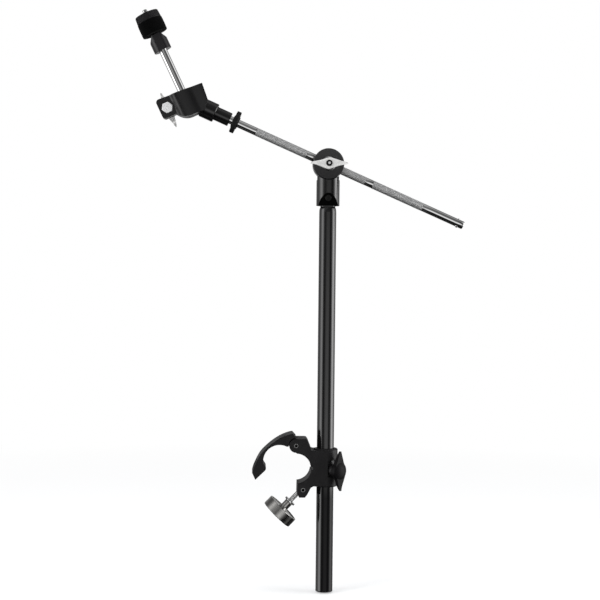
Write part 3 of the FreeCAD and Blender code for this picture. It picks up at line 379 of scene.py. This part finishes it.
def felt_material():
    """Dense black wool: matted clumps with paler fibre ends."""
    n = Nodes("felt_black")
    clump = n.noise(240.0, 6.0, rough=0.7)
    fibre = n.noise(2400.0, 5.0, rough=0.75)
    base = n.mix_colour(clump, grey(0.0005), grey(0.0025))
    base = n.mix_colour(n.ramp(fibre, 0.55, 0.75, 0.0, 0.6), base, grey(0.009))
    n.link(base, "Base Color")
    n.bsdf.inputs["Roughness"].default_value = 0.95
    n.bsdf.inputs["Sheen Weight"].default_value = 0.02
    n.bsdf.inputs["Sheen Roughness"].default_value = 0.5
    n.bsdf.inputs["Specular IOR Level"].default_value = 0.02
    height = n.math("ADD", n.math("MULTIPLY", clump, 0.6), fibre)
    n.link(n.bump(height, 1.0, 0.35), "Normal")
    return n.mat


def rubber_material():
    """Matt rubber with an uneven grey bloom."""
    n = Nodes("ring_rubber")
    bloom_and_highlight = n.noise(160.0, 5.0, rough=0.6)
    n.link(n.mix_colour(bloom_and_highlight, grey(0.0025), grey(0.007)), "Base Color")
    n.link(n.ramp(bloom_and_highlight, 0.3, 0.7, 0.5, 0.7), "Roughness")
    n.bsdf.inputs["Specular IOR Level"].default_value = 0.22
    n.link(n.bump(n.noise(1900.0, 3.0), 0.4, 0.08, n.edge_normal(0.4)), "Normal")
    return n.mat


def fibre_material():
    """Pressed brown fibre board."""
    n = Nodes("friction_fibre")
    fleck = n.noise(1400.0, 4.0, rough=0.7)
    n.link(n.mix_colour(fleck, (0.09, 0.07, 0.05, 1), (0.2, 0.16, 0.12, 1)), "Base Color")
    n.bsdf.inputs["Roughness"].default_value = 0.85
    n.link(n.bump(fleck, 0.6, 0.1), "Normal")
    return n.mat


Y = Vector((0, 1, 0))
TUBE = Vector((point_of("tube_swivel").x, 0, 0))
WING_AXIS = axis_of("wing_bolt_turn")
EAR = point_of("tilter_nut_turn")
WARM = (1, 0.995, 0.98)
# metres, hidden inside the collar when the tube is at rest
COLLAR_LEVEL = -0.01
# millimetres
THREAD_PITCH = 1.0

clamp_nylon = moulded("clamp_nylon", 0.0045, 0.5, shine=0.3)
handle_nylon = moulded("handle_nylon", 0.0035, 0.42, grain=0.35, shine=0.07)
liner_nylon = moulded("liner_nylon", 0.006, 0.4, grain=0.2)
cap_plastic = moulded("cap_plastic", 0.005, 0.3, grain=0.1)
sleeve_plastic = moulded("sleeve_plastic", 0.008, 0.24, grain=0.04, worn=1.4)
cap_nut_plastic = moulded("cap_nut_plastic", 0.005, 0.5, grain=0.3, shine=0.2)
# the tube's low front and right side carry painted shade in their gloss
tube_black = painted("tube_black", 0.003, 0.14, coat=0.3, shaded_below=COLLAR_LEVEL)
# the base's downward faces, the scoop among them, are painted darker as shade
base_black = painted("base_black", 0.003, 0.16, coat=0.3, shaded_matt_below=True)
socket_black = painted("socket_black", 0.003, 0.15, coat=0.2)
block_black = painted("block_black", 0.003, 0.3, peel=0.12, coat=0.0)
# the upper part of this disc face carries a painted highlight
disc_dark = painted("disc_dark", 0.007, 0.45, peel=0.2, coat=0.0, bloom_and_highlight=HEAD.z)
disc_rear = metal("disc_rear", 0.42, 0.3, Y, HEAD, dull=0.2)
screw_black = metal("screw_black", 0.03, 0.4, Y, centre_of("base_screw"), dull=0.4)
pin_steel = metal("pin_steel", 0.72, 0.28, Y, lines="drawn", dull=0.2)
zinc_steel = metal("zinc_steel", 0.7, 0.18, BOLT_DIR, BOLT_PIN, dull=0.3)
zinc_plain = metal("zinc_plain", 0.85, 0.12, BOLT_DIR, BOLT_PIN, dull=0.15)
knob_steel = metal("knob_steel", 0.42, 0.22, BOLT_DIR, BOLT_PIN, tint=(1, 0.985, 0.95), dull=0.35)
# the head bolt is near black, standing in for the dark reflections of its domed end, with a painted
# glint on the axis
bolt_dark = dark_steel("bolt_dark", Y, HEAD, 0.006, 0.95, 0.15, edge_mm=0.5, glint_mm=1.6)
# the washer's outer edge is a painted highlight round a dark face
washer_dark = dark_steel("washer_dark", Y, HEAD, rim_highlight=True)
roll_pin = hollow_pin("roll_pin", Y)
ear_steel = metal("ear_steel", 0.85, 0.4, Y, EAR, dull=0.1, scratch=0.05, metallic=0.55)
wing_nickel = metal("wing_nickel", 0.98, 0.36, Y, HEAD, tint=WARM, scratch=0.08, metallic=0.6)
ear_nickel = metal("ear_nickel", 0.96, 0.36, Y, EAR, tint=WARM, scratch=0.08, metallic=0.7)
rod_chrome = metal("rod_chrome", 0.8, 0.07, BOOM_DIR, HEAD, scratch=0.01, lines="drawn")
post_chrome = metal("post_chrome", 0.82, 0.06, POST_DIR, PIVOT, scratch=0.01, lines="drawn")
knurl_chrome = metal("knurl_chrome", 0.68, 0.36, BOOM_DIR, HEAD, scratch=0.1, metallic=0.92)
stud_steel = threaded("stud_steel", 0.75, 0.26, WING_AXIS, TUBE, THREAD_PITCH)
post_thread = threaded("post_thread", 0.45, 0.24, POST_DIR, PIVOT, THREAD_PITCH)
felt_black = felt_material()
ring_rubber = rubber_material()
friction_fibre = fibre_material()

LOOKS = {
    "clamp_body": clamp_nylon, "clamp_jaw": clamp_nylon, "jaw_pin": roll_pin, "bolt_pin": roll_pin,
    "swing_bolt": zinc_steel, "knob_washer": zinc_plain, "clamp_knob": knob_steel,
    "collar_nut": zinc_plain, "pressure_shoe": zinc_plain, "collar_stud": stud_steel,
    "collar_wing": handle_nylon, "tube_liner": liner_nylon, "boom_tube": tube_black,
    "tube_end_cap": cap_plastic, "tube_plug": zinc_plain, "tilter_base": base_black,
    "base_screw": screw_black, "friction_disc": friction_fibre, "rod_clamp_front": disc_dark,
    "rod_clamp_rear": disc_rear, "head_bolt": bolt_dark, "boom_washer": washer_dark,
    "boom_wing_nut": wing_nickel, "boom_rod": rod_chrome, "rod_stop_pin": pin_steel,
    "stop_ring": ring_rubber, "boom_socket": socket_black, "socket_screw": screw_black,
    "tilter_front_half": block_black, "tilter_rear_half": block_black,
    "tilter_pivot_pin": pin_steel, "tilter_bolt": ear_steel, "tilter_washer": ear_steel,
    "tilter_wing_nut": ear_nickel, "cymbal_rod": post_chrome, "cymbal_sleeve": sleeve_plastic,
    "cymbal_felt": felt_black, "felt_washer": zinc_plain, "cap_nut": cap_nut_plastic,
}
for name, obj in nodes.items():
    obj.data.materials.clear()
    obj.data.materials.append(LOOKS[name])


# ---------------------------------------------------------------- mesh helpers

def new_object(name, verts, faces, materials, smooth=True):
    """A mesh object at the origin, with its points already in place."""
    mesh = bpy.data.meshes.new(name)
    mesh.from_pydata(verts, [], faces)
    mesh.validate()
    mesh.update()
    obj = bpy.data.objects.new(name, mesh)
    bpy.context.scene.collection.objects.link(obj)
    for m in materials:
        mesh.materials.append(m)
    if smooth:
        mesh.polygons.foreach_set("use_smooth", [True] * len(mesh.polygons))
    return obj


def lathe(name, rings, count, place, materials, radius=None, slots=None, closed=False):
    """Revolve rings of (radius, height) in mm, each with count points, about the Z axis of place.

    radius(i, j, r, h) may change the radius of point j on ring i. slots(i) is the material of the band
    above ring i. A closed shape joins its last ring to its first, and any other has both ends capped."""
    verts = []
    for i, (r, h) in enumerate(rings):
        for j in range(count):
            a = 2 * math.pi * j / count
            own = radius(i, j, r, h) if radius else r
            verts.append(place @ Vector((own * math.cos(a) * MM, own * math.sin(a) * MM, h * MM)))
    faces = []
    marks = []
    last = len(rings) if closed else len(rings) - 1
    for i in range(last):
        k = (i + 1) % len(rings)
        for j in range(count):
            n = (j + 1) % count
            faces.append((i * count + j, i * count + n, k * count + n, k * count + j))
            marks.append(slots(i) if slots else 0)
    if not closed:
        faces.append(tuple(reversed(range(count))))
        marks.append(0)
        top = (len(rings) - 1) * count
        faces.append(tuple(range(top, top + count)))
        marks.append(0)
    obj = new_object(name, verts, faces, materials)
    obj.data.polygons.foreach_set("material_index", marks)
    return obj


def triangle_wave(t):
    """0 at whole numbers, 1 half-way between them."""
    f = t % 1.0
    return 1.0 - abs(2.0 * f - 1.0)


def along(node, origin, direction):
    """The lowest and highest distance of a CAD node's points along a direction, in mm."""
    d = [(v.co - origin).dot(direction) for v in nodes[node].data.vertices]
    return min(d) / MM, max(d) / MM


def widest(node, origin, direction):
    """The greatest distance of a CAD node's points from an axis, in mm."""
    best = 0.0
    for v in nodes[node].data.vertices:
        d = v.co - origin
        best = max(best, (d - direction * d.dot(direction)).length)
    return best / MM


# ---------------------------------------------------------------- boom rod with a real diamond knurl

# millimetres; lengths along the rod count from the head
ROD_R = 5.2
ROD_END = ((0.8, 0.0), (0.25, 0.35), (0.0, 0.8))
PLAIN_STEP = 12.0
KNURLS = ((-101.7, -31.0), (-18.6, 52.4), (63.2, 133.7))
KNURL_TOP = 5.27
KNURL_DEPTH = 0.26
KNURL_PITCH = 1.4
KNURL_ROUND = 26
KNURL_SHARP = 1.5
GROOVE = 0.12
GROOVE_NEAR = 0.15
GROOVE_FAR = 0.5
STEPS_PER_DIAMOND = 4


def build_rod():
    """The rod as one turned shape. Each of its knurled lengths lies between two shallow grooves."""
    start, end = along("boom_rod", HEAD, BOOM_DIR)
    rings = [(ROD_R - inset, start + depth) for inset, depth in ROD_END]
    knurled = [False] * len(rings)

    def plain(r, h):
        rings.append((r, h))
        knurled.append(False)

    def plain_length(until):
        at = rings[-1][1]
        while at + PLAIN_STEP < until:
            at += PLAIN_STEP
            plain(ROD_R, at)

    for low, high in KNURLS:
        plain_length(low - 0.6)
        plain(ROD_R, low - GROOVE_FAR)
        plain(ROD_R - GROOVE, low - GROOVE_NEAR)
        steps = int(round((high - low) / (KNURL_PITCH / STEPS_PER_DIAMOND)))
        for i in range(steps + 1):
            rings.append((KNURL_TOP, low + (high - low) * i / steps))
            knurled.append(True)
        plain(ROD_R - GROOVE, high + GROOVE_NEAR)
        plain(ROD_R, high + GROOVE_FAR)
    plain_length(end - 1.0)
    for inset, depth in reversed(ROD_END):
        plain(ROD_R - inset, end - depth)
    count = KNURL_ROUND * STEPS_PER_DIAMOND

    def radius(i, j, r, h):
        if not knurled[i]:
            return r
        across = KNURL_ROUND * j / count
        lengthwise = h / KNURL_PITCH
        ridge = min(triangle_wave(across + lengthwise), triangle_wave(across - lengthwise))
        return r - KNURL_DEPTH * (1.0 - min(1.0, ridge * KNURL_SHARP))

    def slot(i):
        return 1 if knurled[i] and knurled[i + 1] else 0

    place = frame_on(HEAD, BOOM_DIR)
    rod = lathe("boom_rod_knurled", rings, count, place, [rod_chrome, knurl_chrome], radius, slot)
    for poly in rod.data.polygons:
        if poly.material_index == 1 or len(poly.vertices) > 4:
            poly.use_smooth = False
    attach(rod, "boom")
    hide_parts("boom_rod")


build_rod()


# ---------------------------------------------------------------- cap nut with a diamond knurl

# millimetres
NUT_BORE_R = 3.2
NUT_RECESS_R = 12.7
NUT_RECESS = 1.3
NUT_CROWN_R = 13.6
NUT_TAPER = 0.7
NUT_KNURL_DEPTH = 0.35
NUT_KNURL_SHARP = 1.4
NUT_KNURL_FADE = 0.5
NUT_DIAMONDS_ROUND = 44
NUT_DIAMONDS_HIGH = 5
NUT_SIDE_STEPS = 32


def build_cap_nut():
    """A hollow-footed cap: knurled and slightly tapered side, a rounded shoulder, a crown and a bore."""
    low, high = along("cap_nut", PIVOT, POST_DIR)
    r = widest("cap_nut", PIVOT, POST_DIR) - 0.05
    side_low = low + 0.9
    side_high = high - 2.6
    tall = side_high - side_low
    rings = [(NUT_BORE_R, low + NUT_RECESS), (NUT_RECESS_R, low + NUT_RECESS)]
    rings += [(NUT_RECESS_R + 0.2, low + 0.15), (NUT_RECESS_R + 0.4, low)]
    rings += [(r - 0.6, low), (r - 0.3, low + 0.1), (r - 0.1, low + 0.5)]
    first = len(rings)
    rings += [(r, side_low + tall * i / NUT_SIDE_STEPS) for i in range(NUT_SIDE_STEPS + 1)]
    last = len(rings) - 1
    rings += [(r - 0.8, side_high + 0.35), (r - 1.2, side_high + 0.75)]
    rings += [(NUT_CROWN_R, side_high + 1.05), (NUT_CROWN_R - 0.3, side_high + 0.95), (9.0, high - 0.65)]
    rings += [(6.2, high - 0.2), (4.0, high), (3.4, high - 0.2), (NUT_BORE_R, high - 0.8)]
    count = NUT_DIAMONDS_ROUND * STEPS_PER_DIAMOND
    pitch = tall / NUT_DIAMONDS_HIGH

    def radius(i, j, plain_r, h):
        if not first <= i <= last:
            return plain_r
        fade = min(1.0, (h - side_low) / NUT_KNURL_FADE, (side_high - h) / NUT_KNURL_FADE)
        taper = NUT_TAPER * (h - side_low) / tall
        across = NUT_DIAMONDS_ROUND * j / count
        ridge = min(triangle_wave(across + h / pitch), triangle_wave(across - h / pitch))
        cut = NUT_KNURL_DEPTH * (1.0 - min(1.0, ridge * NUT_KNURL_SHARP))
        return plain_r - taper - cut * max(0.0, fade)

    place = frame_on(PIVOT, POST_DIR)
    nut = lathe("cap_nut_knurled", rings, count, place, [cap_nut_plastic], radius, closed=True)
    for poly in nut.data.polygons:
        band = poly.vertices[0] // count
        poly.use_smooth = not first <= band < last
    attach(nut, "cap_nut")
    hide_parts("cap_nut")


build_cap_nut()


# ---------------------------------------------------------------- felt

# millimetres
FELT_BORE_R = 5.75
FELT_CORNER = 0.6
FELT_CORNER_STEPS = 6
FELT_SIDE_STEPS = 34
FELT_FACE_STEPS = 16
FELT_COUNT = 216
FELT_LUMPS = ((1.0, 0.14), (5.0, 0.1), (14.0, 0.12))
FELT_BULGE = 0.2
FELT_SHRINK = 0.15
FELT_DIMPLES = ((400.0, 0.08), (1300.0, 0.1))


def build_felt():
    """A thick wool felt: softened rims, a slight bulge, and lumps and dimples on every face."""
    low, high = along("cymbal_felt", PIVOT, POST_DIR)
    outer = widest("cymbal_felt", PIVOT, POST_DIR) - 0.1
    top = high - 0.05
    bottom = low + 0.05
    middle = (top + bottom) / 2
    half = (top - bottom) / 2
    core = outer - FELT_CORNER
    foot = bottom + FELT_CORNER
    head = top - FELT_CORNER
    quarter = [math.radians(90 * k / FELT_CORNER_STEPS) for k in range(FELT_CORNER_STEPS + 1)]
    rings = [(core + FELT_CORNER * math.sin(a), foot - FELT_CORNER * math.cos(a)) for a in quarter]
    for k in range(1, FELT_SIDE_STEPS):
        rings.append((outer, foot + (head - foot) * k / FELT_SIDE_STEPS))
    rings += [(core + FELT_CORNER * math.cos(a), head + FELT_CORNER * math.sin(a)) for a in quarter]
    face = core - FELT_BORE_R - 0.6
    flat = [core - face * k / FELT_FACE_STEPS for k in range(1, FELT_FACE_STEPS + 1)]
    rings += [(r, top) for r in flat]
    rings += [(FELT_BORE_R, top - 0.5), (FELT_BORE_R, middle), (FELT_BORE_R, bottom + 0.5)]
    rings += [(r, bottom) for r in reversed(flat)]

    def radius(i, j, r, h):
        if r < core - 0.01:
            return r
        a = 2 * math.pi * j / FELT_COUNT
        p = Vector((math.cos(a) * 3.0, math.sin(a) * 3.0, h * 0.2))
        lumps = sum(noise.noise(p * scale) * tall for scale, tall in FELT_LUMPS)
        bulge = FELT_BULGE * (1.0 - ((h - middle) / half) ** 2)
        return min(r + lumps + bulge - FELT_SHRINK, outer + 0.3)

    place = frame_on(PIVOT, POST_DIR)
    felt = lathe("cymbal_felt_soft", rings, FELT_COUNT, place, [felt_black], radius, closed=True)
    for v in felt.data.vertices:
        d = v.co - PIVOT
        h = d.dot(POST_DIR)
        r = (d - POST_DIR * h).length
        if (FELT_BORE_R + 1.0) * MM < r < (outer - 0.6) * MM:
            sink = 0.1 + sum(noise.noise(v.co * scale) * deep for scale, deep in FELT_DIMPLES)
            v.co -= POST_DIR * math.copysign(sink * MM, h - middle * MM)
    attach(felt, "tilter")
    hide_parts("cymbal_felt")


build_felt()


# ---------------------------------------------------------------- screw threads

# millimetres
SHANK_R = 2.98
THREAD_HEIGHT = 0.14
THREAD_ROOT = 0.08
THREAD_HALF = 0.42
THREAD_STEPS = 28


def build_thread(name, body, place, start, end, material):
    """A helical ridge that stands proud of a plain shank, faded out over half a turn at both ends."""
    total = int((end - start) / THREAD_PITCH * THREAD_STEPS)
    half = THREAD_HALF * THREAD_PITCH
    verts = []
    for k in range(total + 1):
        a = 2 * math.pi * k / THREAD_STEPS
        z = start + (end - start) * k / total
        rise = THREAD_HEIGHT * min(1.0, k / THREAD_STEPS * 2.0, (total - k) / THREAD_STEPS * 2.0)
        root = SHANK_R - THREAD_ROOT
        crest = SHANK_R + rise
        for r, dz in ((root, -half), (crest, -half * 0.25), (crest, half * 0.25), (root, half)):
            verts.append(place @ Vector((r * math.cos(a) * MM, r * math.sin(a) * MM, (z + dz) * MM)))
    faces = []
    for k in range(total):
        for m in range(4):
            n = (m + 1) % 4
            faces.append((4 * k + m, 4 * k + n, 4 * k + 4 + n, 4 * k + 4 + m))
    faces.append((3, 2, 1, 0))
    faces.append(tuple(4 * total + m for m in range(4)))
    ridge = new_object(name, verts, faces, [material], smooth=False)
    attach(ridge, body)


ON_BOLT = frame_on(BOLT_PIN, BOLT_DIR)
ON_POST = frame_on(PIVOT, POST_DIR)
POST_TIP = along("cymbal_rod", PIVOT, POST_DIR)[1]
build_thread("swing_bolt_thread", "bolt", ON_BOLT, 9.5, 22.0, zinc_plain)
TIP_START = POST_TIP - 9.0
TIP_END = POST_TIP - 1.0
build_thread("cymbal_rod_thread", "tilter", ON_POST, TIP_START, TIP_END, post_thread)


# ---------------------------------------------------------------- floor, light, camera

LOWEST = cad_box[0][2]
FLOOR_GAP = 0.0015
FLOOR_SIZE = 9.0
FADE_START = 0.3
FADE_END = 1.6
BRIGHTEST = 8.0


class Sky(Tree):
    """The nodes of the world, with ramps that hold many stops."""

    def curve(self, source, stops, low, high):
        """A smooth curve through (input, output) stops. Outputs may be up to BRIGHTEST."""
        part = self.math("DIVIDE", self.math("SUBTRACT", source, low), high - low)
        node = self.add("ShaderNodeValToRGB", {0: part})
        band = node.color_ramp
        band.interpolation = "EASE"
        band.elements.remove(band.elements[0])
        for k, (place, value) in enumerate(stops):
            spot = (place - low) / (high - low)
            element = band.elements[0] if k == 0 else band.elements.new(spot)
            element.position = spot
            element.color = (value / BRIGHTEST,) * 3 + (1,)
        return self.math("MULTIPLY", node.outputs[0], BRIGHTEST)


# The studio as reflections see it. AROUND gives a panel's strength by degrees round the stand, 0 in
# front and 90 on its right. The next three give it by degrees above the horizon.
AROUND = [
    (-180, 0.55), (-168, 0.55), (-154, 0.35), (-126, 0.35), (-103, 0.6), (-92, 1.6), (-83, 2.5),
    (-72, 3.3), (-63, 2.6), (-54, 0.8), (-46, 0.15), (-38, 0.06), (-30, 0.12), (-22, 0.4),
    (-13, 0.8), (-4, 1.0), (16, 1.0), (25, 0.85), (32, 0.35), (39, 0.06), (50, 0.12), (60, 0.6),
    (67, 1.8), (77, 4.4), (86, 5.6), (98, 3.8), (110, 1.6), (126, 0.5), (154, 0.35),
    (168, 0.55), (180, 0.55),
]
FRONT_BY_HEIGHT = [
    (-90, 0.01), (-58, 0.012), (-42, 0.02), (-33, 0.05), (-25, 0.35), (-18, 0.95), (-9, 1.2),
    (-1, 0.8), (5, 0.4), (11, 0.2), (20, 0.15), (45, 0.13), (90, 0.1),
]
SIDE_BY_HEIGHT = [
    (-90, 0.01), (-50, 0.03), (-36, 0.1), (-26, 0.3), (-14, 1.0), (14, 1.0), (24, 0.7),
    (34, 0.2), (48, 0.03), (90, 0.02),
]
OVERHEAD = [
    (-90, 0.0), (25, 0.0), (40, 0.06), (54, 0.16), (64, 0.34), (78, 0.5), (90, 0.55),
]
# a softbox above and to the left, its strength by the cosine of the angle off its centre
SOFTBOX = Vector((-0.63, -0.57, 0.52)).normalized()
SOFTBOX_EDGE = [(-1, 0.0), (0.82, 0.0), (0.9, 0.3), (0.95, 0.36), (1, 0.36)]
# how far the heights of the side panels take over from the front panel's, by degrees off the front
SIDEWAYS = [(0, 0.0), (25, 0.0), (50, 1.0), (180, 1.0)]
AMBIENT = (0.95, 0.97, 1.0, 1.0)
AMBIENT_STRENGTH = 0.6


def build_world():
    """White to the camera. Reflections see a studio: front, side and overhead panels with dark gaps."""
    world = bpy.data.worlds.new("studio")
    bpy.context.scene.world = world
    world.use_nodes = True
    sky = Sky(world.node_tree)
    coord = sky.add("ShaderNodeTexCoord").outputs["Generated"]
    x, y, z = sky.add("ShaderNodeSeparateXYZ", {0: coord}).outputs
    turn = sky.math("DEGREES", sky.math("ARCTAN2", x, sky.math("MULTIPLY", y, -1.0)))
    height = sky.math("DEGREES", sky.math("ARCSINE", z))
    panels = sky.curve(turn, AROUND, -180, 180)
    front = sky.curve(height, FRONT_BY_HEIGHT, -90, 90)
    side = sky.curve(height, SIDE_BY_HEIGHT, -90, 90)
    away = sky.curve(sky.math("ABSOLUTE", turn), SIDEWAYS, 0, 180)
    share = sky.add("ShaderNodeMix", {0: away, 2: front, 3: side}, data_type="FLOAT").outputs[0]
    total = sky.math("ADD", sky.math("MULTIPLY", panels, share), sky.curve(height, OVERHEAD, -90, 90))
    total = sky.math("ADD", total, sky.curve(sky.dot(coord, SOFTBOX), SOFTBOX_EDGE, -1, 1))
    studio = sky.add("ShaderNodeBackground", {0: total, 1: 1.0}).outputs[0]
    ambient = sky.add("ShaderNodeBackground", {0: AMBIENT, 1: AMBIENT_STRENGTH}).outputs[0]
    white = sky.add("ShaderNodeBackground", {0: (1, 1, 1, 1), 1: 1.0}).outputs[0]
    path = sky.add("ShaderNodeLightPath").outputs
    seen = sky.add("ShaderNodeMixShader", {0: path["Is Glossy Ray"], 1: ambient, 2: studio}).outputs[0]
    seen = sky.add("ShaderNodeMixShader", {0: path["Is Camera Ray"], 1: seen, 2: white}).outputs[0]
    sky.add("ShaderNodeOutputWorld", {0: seen})


def build_floor():
    """A pale floor that fades into the white room, and sinks when the tube is lowered.

    Reflections see the studio instead."""
    size = FLOOR_SIZE
    verts = [(-size, -size, 0), (size, -size, 0), (size, size, 0), (-size, size, 0)]
    floor = new_object("floor", verts, [(0, 1, 2, 3)], [], smooth=False)
    floor.location = (0, 0, LOWEST - FLOOR_GAP)
    floor.visible_glossy = False
    follow = floor.constraints.new("COPY_LOCATION")
    follow.target = frame["bodies"]["tube"]
    follow.use_x = False
    follow.use_y = False
    follow.use_offset = True
    keep_low = floor.constraints.new("LIMIT_LOCATION")
    keep_low.use_max_z = True
    keep_low.max_z = LOWEST - FLOOR_GAP
    n = Nodes("floor")
    fine = n.noise(3.0, 4.0)
    n.link(n.mix_colour(fine, grey(0.9), grey(0.94)), "Base Color")
    n.bsdf.inputs["Roughness"].default_value = 0.9
    n.bsdf.inputs["Specular IOR Level"].default_value = 0.0
    far = n.add("ShaderNodeVectorMath", {0: n.coord}, operation="LENGTH").outputs["Value"]
    glow = n.add("ShaderNodeEmission", {"Color": grey(1.0), "Strength": 1.0})
    fade = n.ramp(far, FADE_START, FADE_END, 0.4, 1.0)
    pale = n.add("ShaderNodeMixShader", {0: fade, 1: n.bsdf.outputs[0], 2: glow.outputs[0]})
    n.tree.links.new(pale.outputs[0], n.out.inputs[0])
    floor.data.materials.append(n.mat)


def area_light(name, place, target, size, power):
    """A soft rectangular lamp that the camera and reflections don't see."""
    data = bpy.data.lights.new(name, "AREA")
    data.shape = "RECTANGLE"
    data.size, data.size_y = size
    data.energy = power
    lamp = bpy.data.objects.new(name, data)
    bpy.context.scene.collection.objects.link(lamp)
    lamp.location = place
    aim = Vector(target) - Vector(place)
    lamp.rotation_euler = aim.to_track_quat("-Z", "Y").to_euler()
    lamp.visible_camera = False
    lamp.visible_glossy = False


EYE = Vector((-0.060, -1.860, 0.255))
LENS_MM = 86.38
SENSOR_MM = 36.0
YAW = 1.9529
PITCH = -1.1956
ROLL = 0.5721


def build_camera():
    """A long lens in front of the stand, slightly left of its middle and almost level."""
    data = bpy.data.cameras.new("camera")
    data.sensor_width = SENSOR_MM
    data.lens = LENS_MM
    data.clip_start = 0.05
    data.clip_end = 60.0
    cam = bpy.data.objects.new("camera", data)
    bpy.context.scene.collection.objects.link(cam)
    yaw, pitch, roll = math.radians(YAW), math.radians(PITCH), math.radians(ROLL)
    forward = Vector((math.sin(yaw) * math.cos(pitch), math.cos(yaw) * math.cos(pitch), math.sin(pitch)))
    right = Vector((math.cos(yaw), -math.sin(yaw), 0))
    up = right.cross(forward)
    rolled_right = right * math.cos(roll) + up * math.sin(roll)
    rolled_up = up * math.cos(roll) - right * math.sin(roll)
    turn = Matrix((rolled_right, rolled_up, -forward)).transposed().to_4x4()
    cam.matrix_world = Matrix.Translation(EYE) @ turn
    bpy.context.scene.camera = cam


build_floor()
build_world()
MIDDLE = (0.0, 0.0, 0.2)
area_light("key_left", (-1.5, -1.0, 1.3), MIDDLE, (0.9, 1.6), 22.0)
area_light("side_right", (1.6, -0.4, 0.6), MIDDLE, (0.8, 1.6), 14.0)
area_light("top", (0.0, -0.2, 2.0), MIDDLE, (1.6, 1.2), 20.0)
build_camera()

scene = bpy.context.scene
scene.view_settings.view_transform = "Standard"
scene.view_settings.look = "None"
